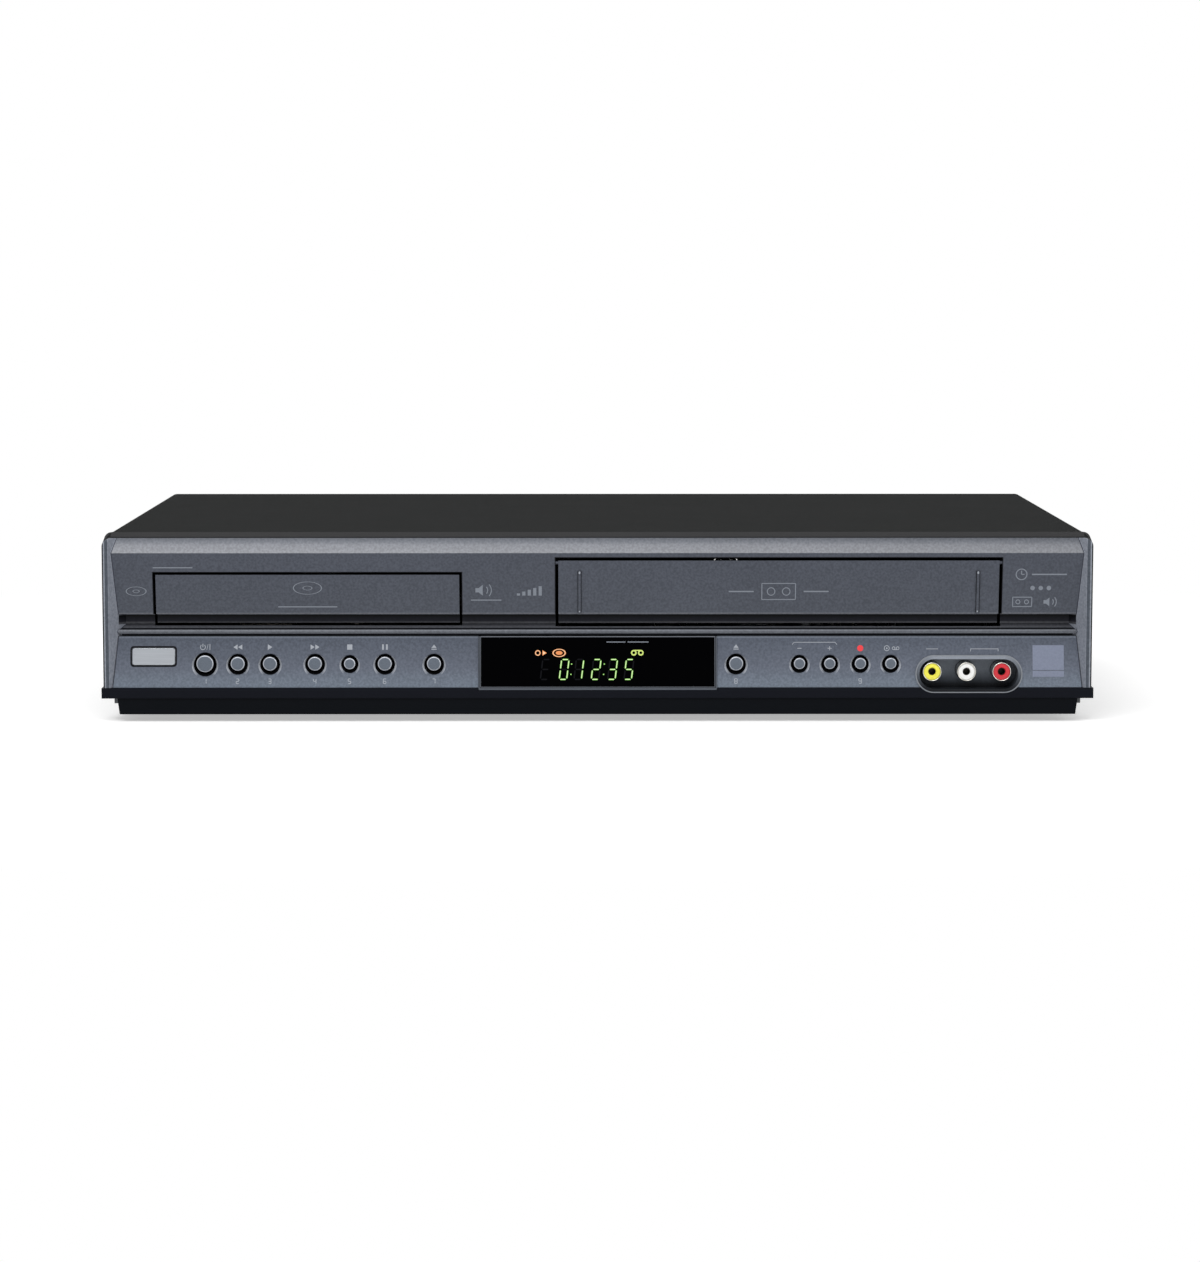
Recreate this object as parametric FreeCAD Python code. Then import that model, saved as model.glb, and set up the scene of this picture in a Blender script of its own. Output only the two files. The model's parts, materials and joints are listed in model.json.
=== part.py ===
"""Disc and videocassette combination player, as separate pieces, in millimetres.

X runs to the right seen from the front, the front faces -Y, and Z points up from the
surface that the feet stand on. Setbacks are measured backwards from the front rim.
"""
import FreeCAD, Part
import math
import os

# Whole player
WIDTH = 437.0
HEIGHT = 83.2
BODY_DEPTH = 250.0

# Materials' thicknesses, and the gaps between pieces
STEEL = 1.0
MOULDING = 2.2
GAP = 0.3
RUNNING = 0.06
BOARD = 1.6

# Front panel: heights above the surface and setbacks from the rim
PANEL_INSET = 0.9
RIM_WIDTH = 2.8
RIM_ROUND = 0.8
CHEEK_LEAN = 0.72
PANEL_CORNER = 3.5
PANEL_DEPTH = 16.0
PANEL_DROP = 2.2
BROW_HEIGHT = 6.4
BROW_SETBACK = 4.2
FACE_TOP_SETBACK = 1.2
FACE_FOOT_SETBACK = 4.6
BAND_TOP = 47.4
BAND_LIP = 0.4
BAND_BOTTOM = 42.8
BAND_SETBACK = 9.0
SHELF_FRONT = 40.5
SHELF_SETBACK = 5.2
RAIL_NOSE = 39.6
RAIL_SETBACK = 4.4
RAIL_BOTTOM = 38.7
GROOVE_SETBACK = 6.5

# Control panel, skirt and plinth
CONTROL_TOP = 37.8
CONTROL_BOTTOM = 15.1
CONTROL_TOP_SETBACK = 4.6
CONTROL_FOOT_SETBACK = 1.2
CONTROL_DEPTH = 14.0
LEDGE = 1.5
SKIRT_BOTTOM = 10.4
PLINTH_BOTTOM = 3.3
PLINTH_SETBACK = 1.0
PLINTH_INSET = 6.8
PLINTH_TAPER = 1.0
SKIRT_DEPTH = 14.0

# Disc drawer's and cassette flap's places in the front panel
TRAY_MARGIN_SHARE = 0.21521
DOOR_OVERLAP = 2.25
TRAY_DOOR_BOTTOM = 43.1
TRAY_DOOR_TOP = 64.9
FLAP_MARGIN_SHARE = 0.38033
FLAP_ROOM = 3.45
FLAP_BOTTOM = 42.9
FLAP_TOP = 71.2
DOOR_GAP = 1.1
FLAP_GAP = 1.3
FLAP_RIB_INSET = 9.3
FLAP_RIB_WIDTH = 1.7
FLAP_RIB_RAISE = 0.5
FLAP_PIN_RADIUS = 0.8
FLAP_PIN_DROP = 1.0

# Display
WINDOW_WIDTH = 102.7
WINDOW_BOTTOM = 15.6
WINDOW_RAISE = 0.4
BEZEL_WIDTH = 1.1
BEZEL_TOP_WIDTH = 0.5
BEZEL_RAISE = 0.7
BEZEL_BOTTOM = 14.1
TUBE_WIDTH = 92.0
TUBE_HEIGHT = 17.0
TUBE_DEPTH = 5.0

# Push buttons: place across the panel and cap radius, all on one line
BUTTON_HEIGHT = 25.6
LARGE_CAP = 3.9
MEDIUM_CAP = 3.25
SMALL_CAP = 2.65
BUTTONS = {
    "power_button": (-173.0, LARGE_CAP),
    "rewind_button": (-158.6, MEDIUM_CAP),
    "play_button": (-144.4, MEDIUM_CAP),
    "fast_forward_button": (-124.6, MEDIUM_CAP),
    "stop_button": (-109.3, SMALL_CAP),
    "pause_button": (-93.8, MEDIUM_CAP),
    "open_close_button": (-72.15, MEDIUM_CAP),
    "eject_button": (61.0, MEDIUM_CAP),
    "tracking_down_button": (88.95, SMALL_CAP),
    "tracking_up_button": (102.3, SMALL_CAP),
    "record_button": (115.8, SMALL_CAP),
    "source_select_button": (129.2, SMALL_CAP),
}
BUTTON_TRAVEL = 0.8
BUTTON_RAISE = 0.8
BUTTON_RIM = 0.9
BUTTON_BEVEL = 0.9
BUTTON_FLANGE = 0.6
BUTTON_FLANGE_THICKNESS = 1.0
STEM_RADIUS = 1.6
SWITCH_SIZE = 6.0
SWITCH_DEPTH = 3.4
PLUNGER_RADIUS = 1.7
PLUNGER_REACH = 0.7

# Phono sockets
SHELL_RADIUS = 4.15
SHELL_WALL = 0.4
SHELL_ROOT_RADIUS = 3.95
CONTACT_RADIUS = 1.6
SHELL_REACH = 9.0
JACK_HEIGHT = 21.9
FRONT_JACKS = (147.5, 162.7, 178.2)
RECESS_WIDTH = 47.2
RECESS_HEIGHT = 16.5
RECESS_CENTRE_HEIGHT = 20.95
RECESS_LIP = 0.8
RECESS_SETBACK = 11.0
RECESS_WALL = 1.2

# Bottom chassis, feet, cover and rear panel
FOOT_HEIGHT = 6.5
FOOT_RADIUS = 10.0
FOOT_INSET = 48.0
FOOT_SETBACK = 36.0
CHASSIS_FLANGE = 14.0
COVER_INSET = 1.6
COVER_CORNER = 3.0
COVER_BEVEL = 5.6
COVER_SIDE_BOTTOM = 10.6
COVER_FLANGE = 9.0
SCREW_HEAD = 3.2
SCREW_HEAD_DEPTH = 1.8
SCREW_SHANK = 1.4
SCREW_LENGTH = 4.0
VENT_COUNT = 10
VENT_PITCH = 7.0
VENT_WIDTH = 2.6
VENT_HEIGHT = 26.0
VENT_START = 18
FOOT_DISH = 6.0
SCREW_HEAD_TOP = 2.2
SIDE_SCREW_SETBACK = 28.0
REAR_SCREW_SPREAD = 173.0

# Rear sockets: margins from the ends of the body, then the round and the mains sockets
PHONO_PITCH = 14.0
PHONO_LEVEL = 46.0
PHONO_MARGINS = (64.7, 130.7, 194.7)
PHONO_COUNT = 3
PHONO_ROOT = 3.0
S_VIDEO_MARGIN = 148.7
S_VIDEO_RADIUS = 6.6
S_VIDEO_BORE = 4.7
S_VIDEO_CORE = 3.8
INLET_MARGIN = 38.7
INLET_LEVEL = 30.0
INLET_WIDTH = 23.0
INLET_HEIGHT = 17.0
INLET_CAVITY_WIDTH = 16.0
INLET_CAVITY_HEIGHT = 8.4
INLET_DEPTH = 18.0
INLET_PIN_RADIUS = 1.2
INLET_PIN_PITCH = 8.6

# Circuit boards
BOARD_RISE = 4.4
BOARD_LENGTH = 38.0
BOARD_MARGIN = 9.0
POWER_BOARD_WIDTH = 90.0
TRANSFORMER_SIZE = 30.0
TRANSFORMER_HEIGHT = 24.0
CAPACITOR_RADIUS = 8.0

# Disc loader
LOADER_ROOM = 10.3
LOADER_SETBACK = 20.0
LOADER_LENGTH = 178.0
LOADER_FLOOR = 19.0
LOADER_TOP = 60.0
LOADER_WALL = 2.0
TRAY_WIDTH = 129.0
TRAY_LENGTH = 176.0
TRAY_UNDERSIDE = 51.5
TRAY_RIM = 57.0
TRAY_LIP = 2.4
TRAY_LIP_THICKNESS = 2.0
TRAY_TRAVEL = 142.0
TRAY_CORNER = 8.0
DISC_RADIUS = 60.0
DISC_CLEARANCE = 0.7
DISC_SETBACK = 80.0
DISC_STEP = 3.0
SMALL_DISC_RADIUS = 40.0
SMALL_DISC_STEP = 0.8
SLOT_WIDTH = 43.0
GEAR_MODULE = 1.25
GEAR_THICKNESS = 6.8
TRAY_GEAR_TEETH = 18
TRAY_GEAR_SETBACK = 35.0
PINION_TEETH = 12
BACKLASH = 0.5
RACK_INSET = 10.0
RACK_THICKNESS = 3.0
PULLEY_RADIUS = 13.0
MOTOR_PULLEY_RADIUS = 3.2
PULLEY_THICKNESS = 3.6
BELT_SECTION = 1.2
BELT_SPAN = 40.0
TURNTABLE_RADIUS = 15.0
HUB_RADIUS = 7.35
DISC_SEAT = 55.2
CLAMPER_RADIUS = 15.0
CLAMP_STRIP = 27.0
DOOR_LUG_SPREAD = 45.2
GEAR_PRESSURE_ANGLE = 20.0
GEAR_DEDENDUM = 1.25
GEAR_PIN_RADIUS = 1.0
COLUMN_RADIUS = 4.0
MOTOR_RADIUS = 9.5
FLOOR_WINDOW_HALF = 44.9
ROD_RADIUS = 1.5
ROD_SPACING = 46.0
ROD_LEVEL = 45.0
PICKUP_TRAVEL = 34.0
PICKUP_LENGTH = 26.0
PICKUP_CLEARANCE = 1.5
ACTUATOR_HALF = 10.5
LEAD_RADIUS = 1.4
LEAD_OFFSET = 9.0
TRAVERSE_HALF = 36.0
TRAVERSE_AHEAD = 24.0
TRAVERSE_BEHIND = 100.0
TRAVERSE_DROP = 8.0
TRAVERSE_THICKNESS = 2.0
TRAVERSE_PIVOT_INSET = 12.0
CONE_STEP = 1.2
CONE_HEIGHT = 2.1

# Cassette deck
CASSETTE_WIDTH = 187.0
CASSETTE_DEPTH = 103.0
CASSETTE_HEIGHT = 25.0
CASSETTE_FIT = 0.7
CASSETTE_SETBACK = 5.0
CASSETTE_LEVEL = 43.3
FLAP_SWEEP = 6.7
PIN_RADIUS = 2.0
PIN_MARGIN = 14.0
STUD_RISE = 10.0
SLOT_FIT = 0.2
CARRIAGE_SHEET_GAP = 0.1
CARRIAGE_IN = 28.0
CARRIAGE_DOWN = 22.0
CARRIAGE_LEDGE = 17.0
DECK_LEVEL = 15.5
DECK_THICKNESS = 1.5
DECK_SETBACK = 26.0
DECK_LENGTH = 182.0
DECK_MARGIN = 7.5
DRUM_RADIUS = 31.0
DRUM_TILT = 5.0
DRUM_GAP = 0.4
DRUM_CLEARANCE = 9.0
DRUM_FOOT_RADIUS = 23.0
DRUM_HUB = 12.4
LOWER_DRUM = 15.0
UPPER_DRUM = 12.5
REEL_SETBACK = 44.0
REEL_DISC = 2.0
REEL_SPLINES = 3
REEL_SPACING = 92.0
REEL_RADIUS = 22.0
REEL_HUB = 6.0
CAPSTAN_RADIUS = 2.0
CAPSTAN_OFFSET = 62.0
CAPSTAN_CLEARANCE = 6.0
TAPE_RISE = 8.0
TAPE_SPAN = 16.0
GUIDE_CLEARANCE = 6.0
ROTOR_RADIUS = 21.0
PINCH_RADIUS = 7.0
PINCH_SWING = 28.0
PINCH_ARM = 24.0
PINCH_ASIDE = 22.0
PINCH_BEHIND = 9.5

# Worked out from the sizes above
DEPTH = BODY_DEPTH + SHELL_REACH
FRONT = -DEPTH / 2
REAR = FRONT + BODY_DEPTH
PANEL_HALF = WIDTH / 2 - PANEL_INSET
RIM_HALF = PANEL_HALF - RIM_WIDTH
PANEL_TOP = HEIGHT - PANEL_DROP
COVER_HALF = PANEL_HALF - COVER_INSET
COVER_UNDERSIDE = HEIGHT - STEEL
CHASSIS_HALF = COVER_HALF - STEEL - GAP
FLOOR_TOP = FOOT_HEIGHT + STEEL
PANEL_BACK = FRONT + PANEL_DEPTH
CONTROL_BACK = FRONT + CONTROL_DEPTH
PHONO_STARTS = [CHASSIS_HALF - margin for margin in PHONO_MARGINS]
S_VIDEO_X = CHASSIS_HALF - S_VIDEO_MARGIN
INLET_X = -CHASSIS_HALF + INLET_MARGIN
TRAY_DOOR_WIDTH = TRAY_WIDTH + DOOR_OVERLAP * 2
FLAP_WIDTH = CASSETTE_WIDTH + FLAP_ROOM * 2
SPARE_WIDTH = PANEL_HALF * 2 - TRAY_DOOR_WIDTH - FLAP_WIDTH
TRAY_X = -PANEL_HALF + SPARE_WIDTH * TRAY_MARGIN_SHARE + TRAY_DOOR_WIDTH / 2
DECK_X = PANEL_HALF - SPARE_WIDTH * FLAP_MARGIN_SHARE - FLAP_WIDTH / 2
CONTROL_SLOPE = (CONTROL_TOP_SETBACK - CONTROL_FOOT_SETBACK) / (CONTROL_TOP - CONTROL_BOTTOM)
FACE_RUN = PANEL_TOP - BROW_HEIGHT - BAND_TOP
FACE_SLOPE = (FACE_FOOT_SETBACK - FACE_TOP_SETBACK) / FACE_RUN
FLAP_PIN_LEVEL = FLAP_TOP - FLAP_PIN_DROP
LOADER_FRONT = FRONT + LOADER_SETBACK
LOADER_BACK = LOADER_FRONT + LOADER_LENGTH
TRAY_HALF = TRAY_WIDTH / 2
LOADER_HALF = TRAY_HALF + LOADER_ROOM
TRAY_FRONT = FRONT + BAND_SETBACK + MOULDING
TRAY_BACK = TRAY_FRONT + TRAY_LENGTH
RAIL_LEVEL = TRAY_UNDERSIDE - GAP
DISC_Y = FRONT + DISC_SETBACK
GEAR_RADIUS = GEAR_MODULE * TRAY_GEAR_TEETH / 2
PINION_RADIUS = GEAR_MODULE * PINION_TEETH / 2
RACK_X = TRAY_X - TRAY_HALF + RACK_INSET + RACK_THICKNESS
GEAR_X = RACK_X + GEAR_MODULE + GEAR_RADIUS
GEAR_Y = FRONT + TRAY_GEAR_SETBACK
GEAR_TOP = TRAY_UNDERSIDE - GAP * 2
PINION_X = GEAR_X + GEAR_RADIUS + PINION_RADIUS
PULLEY_TOP = GEAR_TOP - GEAR_THICKNESS - GAP
MOTOR_X = PINION_X + BELT_SPAN
TRAVERSE_FRONT = DISC_Y - TRAVERSE_AHEAD
TRAVERSE_BACK = DISC_Y + TRAVERSE_BEHIND
TRAVERSE_LEVEL = ROD_LEVEL - TRAVERSE_DROP
TRAVERSE_PIVOT_Y = TRAVERSE_BACK - TRAVERSE_PIVOT_INSET
TRAVERSE_PIVOT_LEVEL = TRAVERSE_LEVEL + TRAVERSE_THICKNESS / 2
SCREW_X = TRAY_X + ROD_SPACING / 2 + LEAD_OFFSET
PICKUP_START = DISC_Y + TURNTABLE_RADIUS + PICKUP_CLEARANCE
CASSETTE_FRONT = FRONT + CASSETTE_SETBACK
CASSETTE_BACK = CASSETTE_FRONT + CASSETTE_DEPTH
CASSETTE_END = CASSETTE_BACK + CARRIAGE_IN
CARRIAGE_FRONT = FRONT + FLAP_TOP - FLAP_BOTTOM + FLAP_SWEEP
CARRIAGE_HALF = CASSETTE_WIDTH / 2 + CASSETTE_FIT + STEEL
CARRIAGE_LOW = CASSETTE_LEVEL - STEEL - CARRIAGE_SHEET_GAP
CARRIAGE_TOP = CASSETTE_LEVEL + CASSETTE_HEIGHT + CASSETTE_FIT + STEEL
SLIDER_INNER = CARRIAGE_HALF + STEEL
BRACKET_INNER = SLIDER_INNER + STEEL * 2
PIN_LEVEL = CASSETTE_LEVEL + CASSETTE_HEIGHT / 2
PIN_PLACES = (CARRIAGE_FRONT + PIN_MARGIN, CASSETTE_BACK - PIN_MARGIN)
STUD_LEVEL = PIN_LEVEL + STUD_RISE
DECK_HALF = BRACKET_INNER + STEEL + DECK_MARGIN
DECK_TOP = DECK_LEVEL + DECK_THICKNESS
DECK_FRONT = FRONT + DECK_SETBACK
DECK_BACK = DECK_FRONT + DECK_LENGTH
REEL_Y = CASSETTE_END - REEL_SETBACK
DRUM_Y = CASSETTE_END + DRUM_RADIUS + DRUM_CLEARANCE
DRUM_BASE = DECK_TOP + DRUM_RADIUS * math.sin(math.radians(DRUM_TILT)) + GAP
DRUM_AXIS = (math.sin(math.radians(DRUM_TILT)), 0, math.cos(math.radians(DRUM_TILT)))
CAPSTAN_X = DECK_X + CAPSTAN_OFFSET
CAPSTAN_Y = CASSETTE_END + CAPSTAN_CLEARANCE
PINCH_PIVOT_X = CAPSTAN_X + PINCH_ASIDE
PINCH_PIVOT_Y = CAPSTAN_Y + PINCH_BEHIND
TAPE_LOW = DECK_TOP + TAPE_RISE
TAPE_HIGH = TAPE_LOW + TAPE_SPAN

# Far enough to pass everything, and how far a cut passes a face
REACH = 600.0
CUT = 0.5


def box(x_low, x_high, y_low, y_high, z_low, z_high):
    """A block between two opposite corners."""
    corner = FreeCAD.Vector(x_low, y_low, z_low)
    return Part.makeBox(x_high - x_low, y_high - y_low, z_high - z_low, corner)


def rod(radius, start, end):
    """A round bar between two points."""
    base = FreeCAD.Vector(*start)
    along = FreeCAD.Vector(*end) - base
    return Part.makeCylinder(radius, along.Length, base, along)


def face_of(points):
    """A flat face inside a closed outline of straight edges."""
    corners = [FreeCAD.Vector(*point) for point in points]
    return Part.Face(Part.makePolygon(corners + corners[:1]))


def along_x(outline, x_low, x_high):
    """An outline of (y, z) points drawn out along X."""
    face = face_of([(x_low, y, z) for y, z in outline])
    return face.extrude(FreeCAD.Vector(x_high - x_low, 0, 0))


def along_y(outline, y_low, y_high):
    """An outline of (x, z) points drawn out along Y."""
    face = face_of([(x, y_low, z) for x, z in outline])
    return face.extrude(FreeCAD.Vector(0, y_high - y_low, 0))


def along_z(outline, z_low, z_high):
    """An outline of (x, y) points drawn out along Z."""
    face = face_of([(x, y, z_low) for x, y in outline])
    return face.extrude(FreeCAD.Vector(0, 0, z_high - z_low))


def turned(outline, centre, axis=(0, 0, 1)):
    """An outline of (radius, height) points turned about an axis through a centre."""
    face = face_of([(radius, 0, height) for radius, height in outline])
    solid = face.revolve(FreeCAD.Vector(0, 0, 0), FreeCAD.Vector(0, 0, 1), 360)
    turn = FreeCAD.Rotation(FreeCAD.Vector(0, 0, 1), FreeCAD.Vector(*axis))
    solid.Placement = FreeCAD.Placement(FreeCAD.Vector(*centre), turn)
    return solid


def fused(shapes):
    """Several solids joined to one, with no seams left on flat faces."""
    whole = shapes[0].fuse(shapes[1:]) if len(shapes) > 1 else shapes[0]
    return whole.removeSplitter()


def edges_where(shape, test):
    """The edges of a shape whose end points all pass a test."""
    return [edge for edge in shape.Edges if all(test(end.Point) for end in edge.Vertexes)]


def vertical_edges(shape):
    """The straight edges of a shape that run along Z."""
    found = []
    for edge in shape.Edges:
        ends = [vertex.Point for vertex in edge.Vertexes]
        if len(ends) == 2 and math.hypot(ends[0].x - ends[1].x, ends[0].y - ends[1].y) < 1e-6:
            found.append(edge)
    return found


def plate(x_low, x_high, y_low, y_high, z_low, z_high, corner):
    """A flat plate with round corners in plan."""
    blank = box(x_low, x_high, y_low, y_high, z_low, z_high)
    return blank.makeFillet(corner, vertical_edges(blank))


def stadium(centre_x, centre_z, width, height, y_low, y_high):
    """A bar along Y with flat top and bottom and half-round ends."""
    radius = height / 2
    half = width / 2 - radius
    middle = box(centre_x - half, centre_x + half, y_low, y_high,
                 centre_z - radius, centre_z + radius)
    ends = [rod(radius, (centre_x + side * half, y_low, centre_z),
                (centre_x + side * half, y_high, centre_z)) for side in (-1, 1)]
    return fused([middle] + ends)


def setback_points(points):
    """(setback, height) points as (y, z) points."""
    return [(FRONT + setback, height) for setback, height in points]


def face_setback(height):
    """How far the upper face lies behind the rim at a height."""
    return FACE_FOOT_SETBACK - (height - BAND_TOP) * FACE_SLOPE


def control_setback(height):
    """How far the lower face lies behind the rim at a height."""
    return CONTROL_FOOT_SETBACK + (height - CONTROL_BOTTOM) * CONTROL_SLOPE


# ---------------------------------------------------------------- front panel

def panel_profile():
    """The upper face in section, from the groove under the rail to the top of the brow."""
    brow_foot = PANEL_TOP - BROW_HEIGHT
    return [
        (GROOVE_SETBACK, CONTROL_TOP),
        (GROOVE_SETBACK, RAIL_BOTTOM),
        (RAIL_SETBACK, RAIL_BOTTOM),
        (RAIL_SETBACK - LEDGE / 4, RAIL_NOSE),
        (RAIL_SETBACK, SHELF_FRONT),
        (SHELF_SETBACK, SHELF_FRONT),
        (BAND_SETBACK, BAND_BOTTOM),
        (BAND_SETBACK, BAND_TOP - BAND_LIP),
        (FACE_FOOT_SETBACK, BAND_TOP),
        (FACE_TOP_SETBACK, brow_foot),
        (BROW_SETBACK, PANEL_TOP),
    ]


def cheek_plan(half, ahead):
    """The plan between the two cheeks, which lean inwards from the rim and then run back."""
    deep = BAND_SETBACK + CUT
    wide = half + ahead * CHEEK_LEAN
    narrow = half - deep * CHEEK_LEAN
    return [(-wide, FRONT - ahead), (wide, FRONT - ahead), (narrow, FRONT + deep),
            (narrow, FRONT + REACH), (-narrow, FRONT + REACH), (-narrow, FRONT + deep)]


def panel_pocket(shift):
    """The space in front of the panel's faces, moved back by a distance."""
    rise = (BROW_SETBACK - FACE_TOP_SETBACK) / BROW_HEIGHT
    section = setback_points(
        [(-REACH, CONTROL_BOTTOM - REACH), (REACH, CONTROL_BOTTOM - REACH), (REACH, CONTROL_TOP)]
        + panel_profile()
        + [(BROW_SETBACK + rise * LEDGE, PANEL_TOP + LEDGE), (-REACH, PANEL_TOP + LEDGE)])
    plan = cheek_plan(RIM_HALF, LEDGE)
    front_cut = along_x(section, -REACH, REACH).common(along_z(plan, -REACH, REACH))
    return front_cut.translated(FreeCAD.Vector(0, shift, 0))


def panel_blank():
    """The panel's outer block, with its two top corners and its front outline rounded."""
    block = box(-PANEL_HALF, PANEL_HALF, FRONT, PANEL_BACK, CONTROL_BOTTOM, PANEL_TOP)
    corners = edges_where(block, lambda end: end.z > PANEL_TOP - CUT)
    corners = [edge for edge in corners if abs(edge.Vertexes[0].Z - edge.Vertexes[1].Z) < CUT
               and abs(edge.Vertexes[0].X - edge.Vertexes[1].X) < CUT]
    block = block.makeFillet(PANEL_CORNER, corners)
    outline = edges_where(block, lambda end: end.y < FRONT + CUT)
    outline = [edge for edge in outline if edge.BoundBox.ZMax > CONTROL_BOTTOM + CUT]
    return block.makeFillet(RIM_ROUND, outline)


def door_opening(centre_x, width, bottom, top, gap):
    """The hole through the panel for a door, with a gap all round."""
    half = width / 2 + gap
    return box(centre_x - half, centre_x + half, FRONT - LEDGE, FRONT + REACH,
               bottom - gap, top + gap)


def flap_bosses():
    """Two blocks behind the panel that hold the flap's pins, with their bores."""
    depth = face_setback(FLAP_PIN_LEVEL)
    blocks = []
    for side in (-1, 1):
        inner = DECK_X + side * (FLAP_WIDTH / 2 + FLAP_GAP)
        outer = inner + side * MOULDING * 2
        blocks.append(box(min(inner, outer), max(inner, outer),
                          FRONT + depth + CUT, FRONT + depth + MOULDING * 2,
                          FLAP_PIN_LEVEL - MOULDING, FLAP_PIN_LEVEL + MOULDING))
    return blocks


def flap_axis_setback():
    """How far the flap's pins lie behind the rim."""
    return face_setback(FLAP_PIN_LEVEL) + FLAP_PIN_RADIUS + FLAP_RIB_RAISE


def flap_pin_bore():
    """The bore along the flap's axis through both bosses."""
    y = FRONT + flap_axis_setback()
    reach = FLAP_WIDTH / 2 + FLAP_GAP + MOULDING
    return rod(FLAP_PIN_RADIUS + RUNNING, (DECK_X - reach, y, FLAP_PIN_LEVEL),
               (DECK_X + reach, y, FLAP_PIN_LEVEL))


def front_panel():
    """The moulded panel: brow, raked face, dark band, shelf, rail and leaning cheeks."""
    blank = panel_blank()
    side = PANEL_HALF - MOULDING
    upper = box(-side, side, FRONT + MOULDING, FRONT + REACH,
                CONTROL_TOP + MOULDING, PANEL_TOP - MOULDING)
    lower = box(-side, side, FRONT + MOULDING, FRONT + REACH,
                CONTROL_BOTTOM + MOULDING, CONTROL_TOP)
    hollow = upper.fuse(lower).cut(panel_pocket(MOULDING))
    shell = blank.cut(hollow).cut(panel_pocket(0))
    shell = shell.fuse(flap_bosses())
    tray_hole = door_opening(TRAY_X, TRAY_DOOR_WIDTH, TRAY_DOOR_BOTTOM, TRAY_DOOR_TOP, DOOR_GAP)
    flap_hole = door_opening(DECK_X, FLAP_WIDTH, FLAP_BOTTOM, FLAP_TOP, FLAP_GAP)
    shell = shell.cut([tray_hole, flap_hole, flap_pin_bore()])
    return shell.removeSplitter()


# ---------------------------------------------------------------- control panel and skirt

def button_hole(x, cap):
    """A button's hole with its bevelled mouth."""
    radius = cap + BUTTON_RIM
    face = FRONT + control_setback(BUTTON_HEIGHT)
    hole = rod(radius, (x, FRONT - LEDGE, BUTTON_HEIGHT), (x, FRONT + CONTROL_DEPTH, BUTTON_HEIGHT))
    mouth = Part.makeCone(radius + BUTTON_BEVEL * 2, radius, BUTTON_BEVEL * 2,
                          FreeCAD.Vector(x, face - BUTTON_BEVEL, BUTTON_HEIGHT),
                          FreeCAD.Vector(0, 1, 0))
    return hole.fuse(mouth)


def window_opening():
    """The cut in the lower face that the bezel and window sit in."""
    half = WINDOW_WIDTH / 2 + BEZEL_WIDTH + GAP / 2
    behind = CONTROL_TOP_SETBACK + MOULDING + GAP
    front = box(-half, half, FRONT - LEDGE, FRONT + behind,
                BEZEL_BOTTOM - GAP / 2, CONTROL_TOP + CUT)
    view = box(-TUBE_WIDTH / 2 - CUT, TUBE_WIDTH / 2 + CUT, FRONT, FRONT + REACH,
               CONTROL_BOTTOM + LEDGE, CONTROL_TOP - LEDGE - GAP / 2)
    return front.fuse(view)


def recess_centre():
    """The middle of the row of front sockets."""
    places = sorted(FRONT_JACKS)
    return (places[0] + places[-1]) / 2 + RECESS_LIP


def recess_opening():
    """The hole that the socket recess drops into."""
    return stadium(recess_centre(), RECESS_CENTRE_HEIGHT, RECESS_WIDTH - RECESS_LIP,
                   RECESS_HEIGHT - RECESS_LIP, FRONT - LEDGE, FRONT + REACH)


def control_panel():
    """The lower moulded face: a channel with two ledges, drawn along X."""
    top = CONTROL_TOP - GAP / 2
    inner_top = top - LEDGE
    inner_bottom = CONTROL_BOTTOM + LEDGE
    section = setback_points([
        (control_setback(CONTROL_BOTTOM), CONTROL_BOTTOM),
        (CONTROL_DEPTH, CONTROL_BOTTOM),
        (CONTROL_DEPTH, inner_bottom),
        (control_setback(inner_bottom) + MOULDING, inner_bottom),
        (control_setback(inner_top) + MOULDING, inner_top),
        (CONTROL_DEPTH, inner_top),
        (CONTROL_DEPTH, top),
        (control_setback(top), top),
    ])
    plan = cheek_plan(RIM_HALF - GAP, 0)
    body = along_x(section, -REACH, REACH).common(along_z(plan, -REACH, REACH))
    holes = [button_hole(x, cap) for x, cap in BUTTONS.values()]
    return body.cut(holes + [window_opening(), recess_opening()]).removeSplitter()


def front_skirt():
    """The black skirt that stands proud of the panel, over a set-back plinth."""
    top = CONTROL_BOTTOM - GAP / 2
    half = WIDTH / 2
    bar = box(-half, half, FRONT, FRONT + SKIRT_DEPTH, SKIRT_BOTTOM, top)
    bar = bar.makeChamfer(GAP, edges_where(bar, lambda end: end.y < FRONT + CUT))
    bar_hollow = box(-half + MOULDING, half - MOULDING, FRONT + MOULDING, FRONT + REACH,
                     SKIRT_BOTTOM - CUT, top - LEDGE)
    upper = half - PLINTH_INSET
    lower = upper - PLINTH_TAPER
    plinth = along_y([(-upper, SKIRT_BOTTOM + CUT), (upper, SKIRT_BOTTOM + CUT),
                      (lower, PLINTH_BOTTOM), (-lower, PLINTH_BOTTOM)],
                     FRONT + PLINTH_SETBACK, FRONT + SKIRT_DEPTH - GAP)
    plinth_hollow = box(-lower + MOULDING, lower - MOULDING,
                        FRONT + PLINTH_SETBACK + MOULDING, FRONT + REACH, 0, top - LEDGE)
    bezel_half = WINDOW_WIDTH / 2 + BEZEL_WIDTH + GAP / 2
    notch = box(-bezel_half, bezel_half, FRONT - CUT, FRONT + MOULDING * 2,
                BEZEL_BOTTOM - GAP / 2, top + CUT)
    outer = bar.cut(bar_hollow).fuse(plinth)
    return outer.cut([plinth_hollow, notch, recess_lip(GAP), recess_opening()]).removeSplitter()


# ---------------------------------------------------------------- display

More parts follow.
